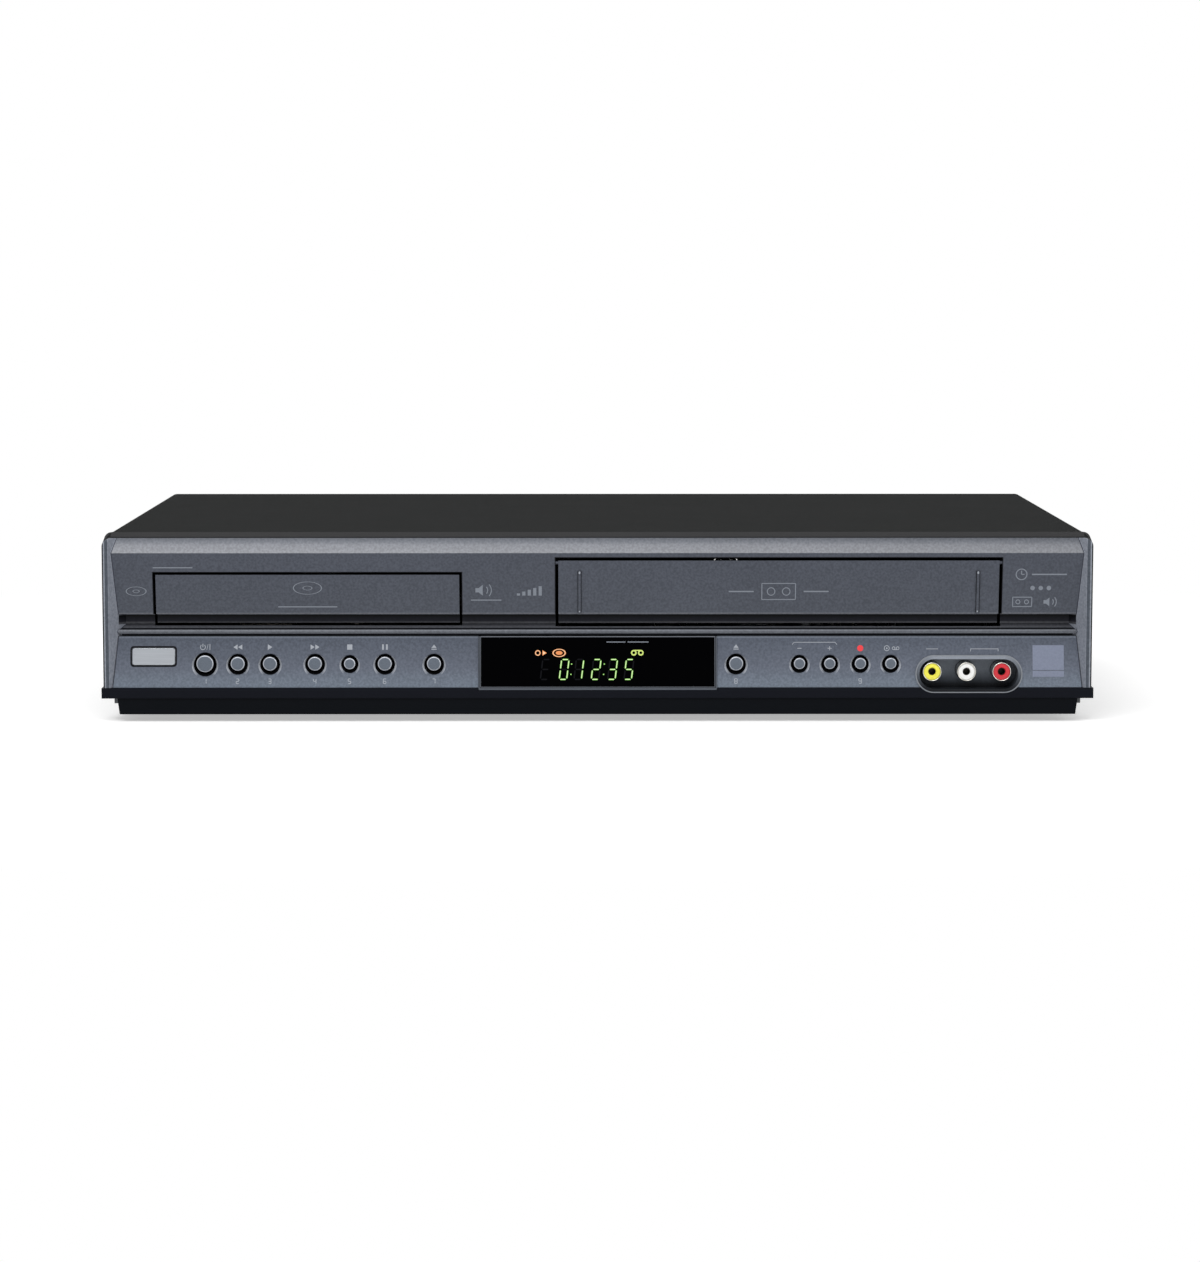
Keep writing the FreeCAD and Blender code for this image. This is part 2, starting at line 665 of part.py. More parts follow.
def raked_plate(half, bottom, top, proud, back):
    """A plate parallel to the lower face, standing proud of it by a distance."""
    outline = setback_points([
        (control_setback(bottom) - proud, bottom), (control_setback(bottom) + back, bottom),
        (control_setback(top) + back, top), (control_setback(top) - proud, top)])
    return along_x(outline, -half, half)


def display_bezel():
    """The thin frame round the window."""
    half = WINDOW_WIDTH / 2
    top = CONTROL_TOP - GAP
    outer = raked_plate(half + BEZEL_WIDTH, BEZEL_BOTTOM, top, BEZEL_RAISE, MOULDING)
    inner = raked_plate(half + GAP / 2, WINDOW_BOTTOM - GAP / 2, top - BEZEL_TOP_WIDTH + GAP / 2,
                        LEDGE * 2, MOULDING * 2)
    return outer.cut(inner)


def display_window():
    """The dark window inside the frame."""
    top = CONTROL_TOP - GAP - BEZEL_TOP_WIDTH
    return raked_plate(WINDOW_WIDTH / 2, WINDOW_BOTTOM, top, WINDOW_RAISE, MOULDING)


def display_tube():
    """The fluorescent tube on the board behind the window."""
    middle = (CONTROL_TOP + CONTROL_BOTTOM) / 2
    half = TUBE_WIDTH / 2
    glass = box(-half, half, CONTROL_BACK - TUBE_DEPTH, CONTROL_BACK,
                middle - TUBE_HEIGHT / 2, middle + TUBE_HEIGHT / 2)
    tip = rod(LEDGE, (half, CONTROL_BACK - TUBE_DEPTH / 2, middle),
              (half + LEDGE * 2, CONTROL_BACK - TUBE_DEPTH / 2, middle))
    return fused([glass, tip])


# ---------------------------------------------------------------- buttons

def button_flange_setback():
    """Where the buttons' collars start, clear of the raked wall."""
    widest = LARGE_CAP + BUTTON_RIM + BUTTON_FLANGE
    return control_setback(BUTTON_HEIGHT + widest) + MOULDING + GAP


def button(x, cap):
    """A domed cap, its collar behind the wall and the stem that works the switch."""
    tip = control_setback(BUTTON_HEIGHT) - BUTTON_RAISE
    collar = button_flange_setback()
    collar_end = collar + BUTTON_FLANGE_THICKNESS
    stem_end = CONTROL_DEPTH - SWITCH_DEPTH - PLUNGER_REACH - BUTTON_TRAVEL - GAP
    wide = cap + BUTTON_RIM + BUTTON_FLANGE
    bevel = BUTTON_RIM / 2
    outline = [(0, tip), (cap - bevel, tip + bevel / 3), (cap, tip + bevel),
               (cap, collar), (wide, collar), (wide, collar_end), (STEM_RADIUS, collar_end),
               (STEM_RADIUS, stem_end), (0, stem_end)]
    return turned(outline, (x, FRONT, BUTTON_HEIGHT), (0, 1, 0))


def front_board():
    """The upright circuit board that carries the key switches."""
    top = CONTROL_TOP - GAP / 2
    places = [x for x, cap in BUTTONS.values()]
    low = min(places) - CONTROL_DEPTH
    high = max(places) + LARGE_CAP
    return box(low, high, CONTROL_BACK, CONTROL_BACK + BOARD, CONTROL_BOTTOM, top)


def key_switches():
    """One square switch with a round plunger behind each button."""
    half = SWITCH_SIZE / 2
    face = CONTROL_BACK - SWITCH_DEPTH
    switches = []
    for x, cap in BUTTONS.values():
        body = box(x - half, x + half, face, CONTROL_BACK, BUTTON_HEIGHT - half,
                   BUTTON_HEIGHT + half)
        plunger = rod(PLUNGER_RADIUS, (x, face - PLUNGER_REACH, BUTTON_HEIGHT),
                      (x, face, BUTTON_HEIGHT))
        switches.append(fused([body, plunger]))
    return switches


# ---------------------------------------------------------------- front sockets

def recess_lip(margin):
    """The outline of the recess's lip, larger by a margin, through the panel."""
    return stadium(recess_centre(), RECESS_CENTRE_HEIGHT, RECESS_WIDTH + margin,
                   RECESS_HEIGHT + margin, FRONT + GAP - margin * LEDGE, FRONT + MOULDING * 2)


def jack_bezel():
    """The recess: a stadium cup with a lip outside and holes for the sockets."""
    floor = FRONT + RECESS_SETBACK
    low = RECESS_CENTRE_HEIGHT - RECESS_HEIGHT
    lip = recess_lip(0).common(raked_plate(REACH, low, CONTROL_TOP, BEZEL_RAISE, 0))
    width = RECESS_WIDTH - RECESS_LIP - GAP
    height = RECESS_HEIGHT - RECESS_LIP - GAP
    cup = stadium(recess_centre(), RECESS_CENTRE_HEIGHT, width, height, FRONT + GAP,
                  floor + RECESS_WALL)
    cup = cup.common(raked_plate(REACH, low, CONTROL_TOP, BEZEL_RAISE, CONTROL_DEPTH))
    inside = stadium(recess_centre(), RECESS_CENTRE_HEIGHT, width - 2 * RECESS_WALL,
                     height - 2 * RECESS_WALL, FRONT - LEDGE, floor)
    holes = [rod(SHELL_RADIUS + GAP / 2, (x, FRONT, JACK_HEIGHT),
                 (x, FRONT + REACH, JACK_HEIGHT)) for x in FRONT_JACKS]
    return lip.fuse(cup).cut([inside] + holes).removeSplitter()


def phono_shell(x, z, tip, root, axis_y):
    """A socket's plated sleeve along Y: its full width outside, then a thinner root."""
    length = abs(root - tip)
    seat = SHELL_REACH - GAP
    inner = SHELL_RADIUS - SHELL_WALL
    outline = [(inner, 0), (SHELL_RADIUS, 0), (SHELL_RADIUS, seat), (SHELL_ROOT_RADIUS, seat),
               (SHELL_ROOT_RADIUS, length), (inner, length)]
    return turned(outline, (x, tip, z), (0, axis_y, 0))


def phono_insert(x, z, tip, root, axis_y):
    """The coloured insulator inside a sleeve, with its contact hole."""
    length = abs(root - tip)
    step = SHELL_WALL
    outline = [(CONTACT_RADIUS, step), (SHELL_RADIUS - SHELL_WALL, step),
               (SHELL_RADIUS - SHELL_WALL, length), (0, length),
               (0, length - SHELL_WALL * 2), (CONTACT_RADIUS, length - SHELL_WALL * 2)]
    return turned(outline, (x, tip, z), (0, axis_y, 0))


def front_sockets():
    """The three front sockets: sleeves, then the coloured insulators in them."""
    tip = FRONT + RECESS_SETBACK - SHELL_REACH
    root = FRONT + RECESS_SETBACK + RECESS_WALL
    shells = [phono_shell(x, JACK_HEIGHT, tip, root, 1) for x in FRONT_JACKS]
    return shells + [phono_insert(x, JACK_HEIGHT, tip, root, 1) for x in FRONT_JACKS]


def front_jack_block():
    """The block behind the recess that carries the three sockets."""
    places = sorted(FRONT_JACKS)
    start = FRONT + RECESS_SETBACK + RECESS_WALL
    margin = SHELL_RADIUS + MOULDING
    return box(places[0] - margin, places[-1] + margin, start, start + MOULDING * 4,
               CONTROL_BOTTOM + LEDGE + GAP, JACK_HEIGHT + margin)


# ---------------------------------------------------------------- chassis, feet, cover, rear

def sheet_outline(half, top, bottom, corner, steps=4):
    """Half of a cover's outline from the left foot over the top to the right foot."""
    points = [(-half, bottom)]
    for side, start in ((-1, math.pi), (1, math.pi / 2)):
        for step in range(steps + 1):
            angle = start - step * math.pi / 2 / steps
            points.append((side * (half - corner) + corner * math.cos(angle),
                           top - corner + corner * math.sin(angle)))
    points.append((half, bottom))
    return points


def vent_slots(x, first_y):
    """A row of upright slots through a side wall."""
    middle = (COVER_SIDE_BOTTOM + HEIGHT) / 2
    return [box(x - STEEL * 2, x + STEEL * 2, first_y + index * VENT_PITCH,
                first_y + index * VENT_PITCH + VENT_WIDTH,
                middle - VENT_HEIGHT / 2, middle + VENT_HEIGHT / 2)
            for index in range(VENT_COUNT)]


def cover_screw_places():
    """Where the cover's screws stand: (point on the sheet, direction of the head)."""
    side_y = [PANEL_BACK + SIDE_SCREW_SETBACK, REAR - SIDE_SCREW_SETBACK]
    level = COVER_SIDE_BOTTOM + COVER_FLANGE
    places = [((side * COVER_HALF, y, level), (side, 0, 0)) for side in (-1, 1) for y in side_y]
    rear_level = HEIGHT - COVER_FLANGE / 2
    places += [((side * REAR_SCREW_SPREAD, REAR, rear_level), (0, 1, 0)) for side in (-1, 0, 1)]
    return places


def screw(place, direction):
    """A pan-head screw whose head sits on a point and whose shank goes inwards."""
    outline = [(0, -SCREW_LENGTH), (SCREW_SHANK, -SCREW_LENGTH), (SCREW_SHANK, 0),
               (SCREW_HEAD, 0), (SCREW_HEAD, SCREW_HEAD_DEPTH / 2),
               (SCREW_HEAD_TOP, SCREW_HEAD_DEPTH), (0, SCREW_HEAD_DEPTH)]
    return turned(outline, place, direction)


def cover_screws():
    """The screws that hold the cover to the chassis and the rear panel."""
    return [screw(place, direction) for place, direction in cover_screw_places()]


def screw_holes(radius):
    """Clearance holes on every cover screw's axis."""
    holes = []
    for place, direction in cover_screw_places():
        point = FreeCAD.Vector(*place)
        along = FreeCAD.Vector(*direction)
        holes.append(Part.makeCylinder(radius, SCREW_LENGTH * 3, point - along * SCREW_LENGTH * 2,
                                       along))
    return holes


def top_cover():
    """The bent steel cover: a U with a hemmed, bevelled front edge and a rear flange."""
    outer = sheet_outline(COVER_HALF, HEIGHT, COVER_SIDE_BOTTOM, COVER_CORNER)
    inner = sheet_outline(COVER_HALF - STEEL, COVER_UNDERSIDE, COVER_SIDE_BOTTOM - CUT,
                          COVER_CORNER - STEEL)
    start = PANEL_BACK + GAP
    body = along_y(outer, start, REAR).cut(along_y(inner, start - CUT, REAR - STEEL))
    window = box(-COVER_HALF, COVER_HALF, REAR - STEEL - CUT, REAR + CUT,
                 0, HEIGHT - COVER_FLANGE)
    body = body.cut(window)
    lip_top = FRONT + BROW_SETBACK + COVER_BEVEL
    lip_section = [(FRONT + BROW_SETBACK + GAP, PANEL_TOP + GAP), (lip_top, PANEL_TOP + GAP),
                   (lip_top + STEEL, COVER_UNDERSIDE), (start, COVER_UNDERSIDE),
                   (start, HEIGHT), (lip_top, HEIGHT),
                   (FRONT + BROW_SETBACK + GAP, PANEL_TOP + GAP * 2)]
    lip = along_x(lip_section, -REACH, REACH)
    lip = lip.common(along_y(outer, FRONT, start))
    cuts = screw_holes(SCREW_SHANK + GAP)
    for side in (-1, 1):
        cuts += vent_slots(side * COVER_HALF, REAR - VENT_PITCH * VENT_START)
    return body.fuse(lip).cut(cuts).removeSplitter()


def bottom_chassis():
    """The steel pan: a floor with four upturned flanges, vent slots and stiffening beads."""
    half = CHASSIS_HALF
    front = FRONT + SKIRT_DEPTH + GAP
    rear = REAR - STEEL - GAP
    floor = box(-half, half, front, rear, FOOT_HEIGHT, FLOOR_TOP)
    sides = [box(side * half - (STEEL if side > 0 else 0), side * half + (STEEL if side < 0 else 0),
                 PANEL_BACK + GAP, rear, FOOT_HEIGHT, FLOOR_TOP + CHASSIS_FLANGE)
             for side in (-1, 1)]
    ends = [box(-half, half, front, front + STEEL, FOOT_HEIGHT, FLOOR_TOP + LEDGE),
            box(-half, half, rear - STEEL, rear, FOOT_HEIGHT, FLOOR_TOP + CHASSIS_FLANGE / 2)]
    first = REAR - VENT_PITCH * (VENT_START - VENT_COUNT / 2)
    slots = [box(x - VENT_HEIGHT, x, first + VENT_PITCH * index,
                 first + VENT_PITCH * index + VENT_WIDTH, 0, FLOOR_TOP + CUT)
             for x in (-COVER_HALF / 2, COVER_HALF / 2) for index in range(VENT_COUNT // 2)]
    return fused([floor] + sides + ends).cut(slots + screw_holes(SCREW_SHANK + RUNNING))


def foot_places():
    """The four feet's centres in plan."""
    x = COVER_HALF - FOOT_INSET
    return [(side * x, y) for side in (-1, 1)
            for y in (FRONT + FOOT_SETBACK, REAR - FOOT_SETBACK)]


def feet():
    """Four round feet with a dished sole."""
    outline = [(0, LEDGE), (FOOT_DISH, LEDGE), (FOOT_DISH, 0), (FOOT_RADIUS - LEDGE, 0),
               (FOOT_RADIUS, LEDGE), (FOOT_RADIUS, FOOT_HEIGHT), (0, FOOT_HEIGHT)]
    return [turned(outline, (x, y, 0)) for x, y in foot_places()]


def rear_phono_places():
    """Every rear phono socket's (x, z): a row for each group, and a second in the first."""
    first, second, third = PHONO_STARTS
    rows = [(first, PHONO_LEVEL), (first, PHONO_LEVEL - PHONO_PITCH), (second, PHONO_LEVEL),
            (third, PHONO_LEVEL)]
    return [(x + place * PHONO_PITCH, z) for x, z in rows for place in range(PHONO_COUNT)]


def rear_panel():
    """The steel rear panel, stepped inwards at the top, with its socket holes."""
    half = CHASSIS_HALF
    inner = REAR - STEEL * 2 - GAP
    step_low = HEIGHT - COVER_FLANGE * 2
    sheet = box(-half, half, REAR - STEEL, REAR, FOOT_HEIGHT, HEIGHT - COVER_FLANGE - GAP)
    step = box(-half, half, inner, REAR - STEEL + CUT, step_low, HEIGHT - COVER_FLANGE - GAP)
    tab = box(-half + COVER_CORNER, half - COVER_CORNER, inner, inner + STEEL, step_low,
              COVER_UNDERSIDE - GAP)
    holes = [rod(SHELL_RADIUS + GAP, (x, inner - CUT, z), (x, REAR + CUT, z))
             for x, z in rear_phono_places()]
    holes.append(rod(S_VIDEO_RADIUS + GAP, (S_VIDEO_X, inner - CUT, PHONO_LEVEL),
                     (S_VIDEO_X, REAR + CUT, PHONO_LEVEL)))
    wide = INLET_WIDTH / 2 + GAP
    tall = INLET_HEIGHT / 2 + GAP
    holes.append(box(INLET_X - wide, INLET_X + wide, inner - CUT, REAR + CUT,
                     INLET_LEVEL - tall, INLET_LEVEL + tall))
    return fused([sheet, tab, step]).cut(holes + screw_holes(SCREW_SHANK + RUNNING))


def rear_phono_shells():
    """The rear sockets' sleeves."""
    tip = REAR + SHELL_REACH
    root = REAR - STEEL - PHONO_ROOT
    return [phono_shell(x, z, tip, root, -1) for x, z in rear_phono_places()]


def rear_phono_inserts():
    """The rear sockets' coloured insulators."""
    tip = REAR + SHELL_REACH
    root = REAR - STEEL - PHONO_ROOT
    return [phono_insert(x, z, tip, root, -1) for x, z in rear_phono_places()]


def rear_socket_blocks():
    """The blocks inside that carry each group of rear sockets."""
    back = REAR - STEEL - PHONO_ROOT
    margin = SHELL_RADIUS + MOULDING
    blocks = []
    for first_x in PHONO_STARTS:
        last_x = first_x + (PHONO_COUNT - 1) * PHONO_PITCH
        blocks.append(box(first_x - margin, last_x + margin, back - MOULDING * 5, back,
                          FLOOR_TOP + BOARD_RISE + BOARD, PHONO_LEVEL + margin))
    return blocks


def s_video_socket():
    """The round four-pin socket: a sleeve and a core with four holes."""
    tip = REAR + MOULDING
    root = REAR - STEEL - PHONO_ROOT
    length = tip - root
    outline = [(S_VIDEO_BORE, 0), (S_VIDEO_RADIUS, 0), (S_VIDEO_RADIUS, length),
               (0, length), (0, length - STEEL), (S_VIDEO_BORE, length - STEEL)]
    sleeve = turned(outline, (S_VIDEO_X, tip, PHONO_LEVEL), (0, -1, 0))
    core = rod(S_VIDEO_CORE, (S_VIDEO_X, root + CUT, PHONO_LEVEL),
               (S_VIDEO_X, tip - LEDGE, PHONO_LEVEL))
    holes = [rod(CUT, (S_VIDEO_X + dx * LEDGE, root, PHONO_LEVEL + dz * LEDGE),
                 (S_VIDEO_X + dx * LEDGE, tip, PHONO_LEVEL + dz * LEDGE))
             for dx in (-1, 1) for dz in (-1, 1)]
    return fused([sleeve, core]).cut(holes)


def ac_inlet():
    """The two-pin mains inlet: a shroud with rounded ends and two pins inside."""
    tip = REAR + STEEL
    inner = REAR - INLET_DEPTH
    wide = INLET_WIDTH / 2
    tall = INLET_HEIGHT / 2
    shroud = box(INLET_X - wide, INLET_X + wide, inner, tip, INLET_LEVEL - tall,
                 INLET_LEVEL + tall)
    flange = box(INLET_X - wide - MOULDING, INLET_X + wide + MOULDING, REAR, tip,
                 INLET_LEVEL - tall - MOULDING, INLET_LEVEL + tall + MOULDING)
    cavity = stadium(INLET_X, INLET_LEVEL, INLET_CAVITY_WIDTH, INLET_CAVITY_HEIGHT,
                     inner + MOULDING, tip + CUT)
    pins = [rod(INLET_PIN_RADIUS, (x, inner, INLET_LEVEL), (x, tip - LEDGE * 2, INLET_LEVEL))
            for x in (INLET_X - INLET_PIN_PITCH / 2, INLET_X + INLET_PIN_PITCH / 2)]
    return fused([shroud, flange]).cut(cavity).fuse(pins).removeSplitter()


def board_posts(x_low, x_high, y_low, y_high):
    """Four posts under a board's corners."""
    return [rod(MOULDING, (x, y, FLOOR_TOP), (x, y, FLOOR_TOP + BOARD_RISE))
            for x in (x_low + BOARD_MARGIN, x_high - BOARD_MARGIN)
            for y in (y_low + BOARD_MARGIN, y_high - BOARD_MARGIN)]


def main_board():
    """The large circuit board along the rear, under the socket blocks."""
    places = [x for x, z in rear_phono_places()]
    low = min(places) - BOARD_MARGIN * 2
    high = max(places) + BOARD_MARGIN
    front = REAR - BOARD_LENGTH
    back = REAR - STEEL * 3
    level = FLOOR_TOP + BOARD_RISE
    board = box(low, high, front, back, level, level + BOARD)
    return fused([board] + board_posts(low, high, front, back))


def power_board():
    """The supply board with its transformer and main capacitor."""
    low = INLET_X - INLET_WIDTH
    high = low + POWER_BOARD_WIDTH
    front = REAR - BOARD_LENGTH - INLET_DEPTH / 2
    back = REAR - STEEL * 3
    top = FLOOR_TOP + BOARD_RISE + BOARD
    rear = REAR - INLET_DEPTH - GAP
    board = box(low, high, front, back, FLOOR_TOP + BOARD_RISE, top)
    transformer = box(high - TRANSFORMER_SIZE - LEDGE, high - LEDGE,
                      rear - TRANSFORMER_SIZE + LEDGE, rear, top, top + TRANSFORMER_HEIGHT)
    capacitor = rod(CAPACITOR_RADIUS, (low + TRANSFORMER_SIZE, rear - CAPACITOR_RADIUS * 2, top),
                    (low + TRANSFORMER_SIZE, rear - CAPACITOR_RADIUS * 2, top + TRANSFORMER_SIZE))
    saddle = box(INLET_X - INLET_WIDTH / 2, INLET_X + INLET_WIDTH / 2, REAR - INLET_DEPTH, back,
                 top, INLET_LEVEL - INLET_HEIGHT / 2)
    return fused([board, transformer, capacitor, saddle] + board_posts(low, high, front, back))


# ---------------------------------------------------------------- gears

def gear_outline(module, teeth, phase, centre, backlash):
    """A spur gear's outline as (x, y) points, with one tooth centred on an angle."""
    pitch = module * teeth / 2
    root = pitch - module * GEAR_DEDENDUM
    tip = pitch + module
    base = pitch * math.cos(math.radians(GEAR_PRESSURE_ANGLE))
    half_pitch = math.pi / teeth / 2 - backlash / 2 / pitch
    spread = half_pitch + involute(base, pitch)
    radii = [max(base, root), pitch, (pitch + tip) / 2, tip]
    points = []
    for index in range(teeth):
        middle = phase + index * 2 * math.pi / teeth
        flank = [(root, spread)] + [(radius, spread - involute(base, radius)) for radius in radii]
        for radius, angle in flank:
            points.append((radius, middle - angle))
        for radius, angle in reversed(flank):
            points.append((radius, middle + angle))
    return [(centre[0] + radius * math.cos(angle), centre[1] + radius * math.sin(angle))
            for radius, angle in points]


def involute(base, radius):
    """The angle between an involute's start and its point at a radius."""
    ratio = math.sqrt(max((radius / base) ** 2 - 1, 0))
    return ratio - math.atan(ratio)


# ---------------------------------------------------------------- disc loader

def tray_door():
    """The drawer's face: the panel's raked section with its band, and two lugs behind."""
    half = TRAY_DOOR_WIDTH / 2
    top_setback = face_setback(TRAY_DOOR_TOP)
    lip = BAND_TOP - BAND_LIP
    section = setback_points([
        (BAND_SETBACK, TRAY_DOOR_BOTTOM), (BAND_SETBACK, lip), (FACE_FOOT_SETBACK, BAND_TOP),
        (top_setback, TRAY_DOOR_TOP), (top_setback + MOULDING, TRAY_DOOR_TOP),
        (FACE_FOOT_SETBACK + MOULDING, lip + MOULDING), (BAND_SETBACK + MOULDING, lip + MOULDING),
        (BAND_SETBACK + MOULDING, TRAY_DOOR_BOTTOM)])
    face = along_x(section, TRAY_X - half, TRAY_X + half)
    front = FRONT + face_setback(TRAY_RIM) + LEDGE
    lugs = [box(x - TRAY_CORNER, x + TRAY_CORNER, front, TRAY_FRONT, TRAY_UNDERSIDE, TRAY_RIM)
            for x in (TRAY_X - DOOR_LUG_SPREAD, TRAY_X + DOOR_LUG_SPREAD)]
    return fused([face] + lugs)


def tray_rack_outline():
    """The rack's outline in plan: teeth on its inner side, along the tray."""
    pitch = math.pi * GEAR_MODULE
    slope = math.tan(math.radians(GEAR_PRESSURE_ANGLE))
    back = RACK_X - RACK_THICKNESS
    root = RACK_X + GEAR_MODULE * (1 - GEAR_DEDENDUM)
    tip = RACK_X + GEAR_MODULE * 2
    half_root = pitch / 4 + GEAR_MODULE * GEAR_DEDENDUM * slope - BACKLASH / 2
    half_tip = pitch / 4 - GEAR_MODULE * slope - BACKLASH / 2
    first = GEAR_Y - pitch * 1.5
    count = int((TRAY_TRAVEL + pitch * 3) / pitch)
    points = [(back, first - pitch / 2)]
    points.append((root, first - pitch / 2))
    for index in range(count):
        middle = first + index * pitch
        points += [(root, middle - half_root), (tip, middle - half_tip),
                   (tip, middle + half_tip), (root, middle + half_root)]
    last = first + (count - 0.5) * pitch
    return points + [(root, last), (back, last)]


def disc_tray():
    """The sliding tray: two disc steps, a slot for the pickup, side lips and a rack."""
    body = plate(TRAY_X - TRAY_HALF, TRAY_X + TRAY_HALF, TRAY_FRONT, TRAY_BACK,
                 TRAY_UNDERSIDE, TRAY_RIM, TRAY_CORNER)
    lips = box(TRAY_X - TRAY_HALF - TRAY_LIP, TRAY_X + TRAY_HALF + TRAY_LIP,
               LOADER_FRONT + GAP, TRAY_BACK - TRAY_CORNER,
               TRAY_UNDERSIDE, TRAY_UNDERSIDE + TRAY_LIP_THICKNESS)
    floor = TRAY_RIM - DISC_STEP
    well = rod(DISC_RADIUS + DISC_CLEARANCE, (TRAY_X, DISC_Y, floor),
               (TRAY_X, DISC_Y, TRAY_RIM + CUT))
    inner_well = rod(SMALL_DISC_RADIUS + DISC_CLEARANCE, (TRAY_X, DISC_Y, floor - SMALL_DISC_STEP),
                     (TRAY_X, DISC_Y, TRAY_RIM + CUT))
    half_slot = SLOT_WIDTH / 2
    slot = box(TRAY_X - half_slot, TRAY_X + half_slot, DISC_Y, TRAY_BACK + CUT, 0, HEIGHT)
    slot_end = rod(half_slot, (TRAY_X, DISC_Y, 0), (TRAY_X, DISC_Y, HEIGHT))
    lightening = [plate(TRAY_X + side * (half_slot + TRAY_HALF) / 2 - TRAY_CORNER,
                        TRAY_X + side * (half_slot + TRAY_HALF) / 2 + TRAY_CORNER,
                        DISC_Y + DISC_RADIUS + TRAY_CORNER, TRAY_BACK - TRAY_CORNER,
                        TRAY_UNDERSIDE + MOULDING, TRAY_RIM + CUT, LEDGE) for side in (-1, 1)]
    rack = along_z(tray_rack_outline(), GEAR_TOP - GEAR_THICKNESS / 2, TRAY_UNDERSIDE + CUT)
    whole = body.fuse(lips).cut([well, inner_well, slot, slot_end] + lightening)
    return whole.fuse(rack).removeSplitter()


def post_shaft(x, y, bottom, top):
    """A fixed pin that a loader gear turns on."""
    return rod(GEAR_PIN_RADIUS, (x, y, bottom), (x, y, top))


def tray_gear():
    """The gear under the tray that drives the rack."""
    outline = gear_outline(GEAR_MODULE, TRAY_GEAR_TEETH, math.pi, (GEAR_X, GEAR_Y), BACKLASH)
    blank = along_z(outline, GEAR_TOP - GEAR_THICKNESS, GEAR_TOP)
    hub = rod(COLUMN_RADIUS, (GEAR_X, GEAR_Y, GEAR_TOP - GEAR_THICKNESS - LEDGE),
              (GEAR_X, GEAR_Y, GEAR_TOP))
    return blank.fuse(hub).cut(gear_bore(GEAR_X))


def gear_bore(x):
    """The running bore of a loader gear."""
    return rod(GEAR_PIN_RADIUS + RUNNING, (x, GEAR_Y, 0), (x, GEAR_Y, HEIGHT))


def loading_pulley():
    """The belt-driven pulley with the pinion that drives the tray gear."""
    half_tooth = math.pi / PINION_TEETH * ((TRAY_GEAR_TEETH + 1) % 2)
    outline = gear_outline(GEAR_MODULE, PINION_TEETH, math.pi + half_tooth, (PINION_X, GEAR_Y),
                           BACKLASH)
    pinion = along_z(outline, PULLEY_TOP - CUT, GEAR_TOP - GEAR_THICKNESS / 2 - GAP)
    groove = BELT_SECTION
    low = PULLEY_TOP - PULLEY_THICKNESS
    rim = turned([(0, low), (PULLEY_RADIUS, low), (PULLEY_RADIUS, low + groove / 2),
                  (PULLEY_RADIUS - groove, low + PULLEY_THICKNESS / 2),
                  (PULLEY_RADIUS, PULLEY_TOP - groove / 2), (PULLEY_RADIUS, PULLEY_TOP),
                  (0, PULLEY_TOP)], (PINION_X, GEAR_Y, 0))
    return pinion.fuse(rim).cut(gear_bore(PINION_X))


def motor_pulley():
    """The small pulley on the loading motor's shaft, with the shaft."""
    low = PULLEY_TOP - PULLEY_THICKNESS
    groove = BELT_SECTION / 2
    wheel = turned([(0, low), (MOTOR_PULLEY_RADIUS, low), (MOTOR_PULLEY_RADIUS, low + groove),
                    (MOTOR_PULLEY_RADIUS - groove, low + PULLEY_THICKNESS / 2),
                    (MOTOR_PULLEY_RADIUS, low + PULLEY_THICKNESS - groove),
                    (MOTOR_PULLEY_RADIUS, PULLEY_TOP), (0, PULLEY_TOP)], (MOTOR_X, GEAR_Y, 0))
    shaft = rod(LEDGE / 2, (MOTOR_X, GEAR_Y, low - LEDGE - MOULDING), (MOTOR_X, GEAR_Y, low))
    return wheel.fuse(shaft)


def loading_belt():
    """The rubber belt round both pulleys, lying in their grooves."""
    large = PULLEY_RADIUS + GAP / 2
    small = MOTOR_PULLEY_RADIUS + GAP / 2
    middle = PULLEY_TOP - PULLEY_THICKNESS / 2
    return belt_ring(large + BELT_SECTION, small + BELT_SECTION, middle).cut(
        belt_ring(large, small, middle))


def belt_ring(large, small, middle):
    """The space inside a belt's outline, as thick as the belt."""
    span = MOTOR_X - PINION_X
    lean = math.asin((large - small) / span)
    low = middle - BELT_SECTION / 2
    high = middle + BELT_SECTION / 2
    corners = []
    for x, radius, side in ((PINION_X, large, 1), (MOTOR_X, small, 1), (MOTOR_X, small, -1),
                            (PINION_X, large, -1)):
        corners.append((x + radius * math.sin(lean), GEAR_Y + side * radius * math.cos(lean)))
    middle_part = along_z(corners, low, high)
    ends = [rod(radius, (x, GEAR_Y, low), (x, GEAR_Y, high))
            for x, radius in ((PINION_X, large), (MOTOR_X, small))]
    return fused([middle_part] + ends)


def loading_motor():
    """The can motor under the loader floor's bracket."""
    top = PULLEY_TOP - PULLEY_THICKNESS - LEDGE
    can = rod(MOTOR_RADIUS, (MOTOR_X, GEAR_Y, LOADER_FLOOR + LOADER_WALL), (MOTOR_X, GEAR_Y, top))
    bore = rod(LEDGE / 2 + RUNNING, (MOTOR_X, GEAR_Y, LOADER_FLOOR), (MOTOR_X, GEAR_Y, HEIGHT))
    return can.cut(bore)


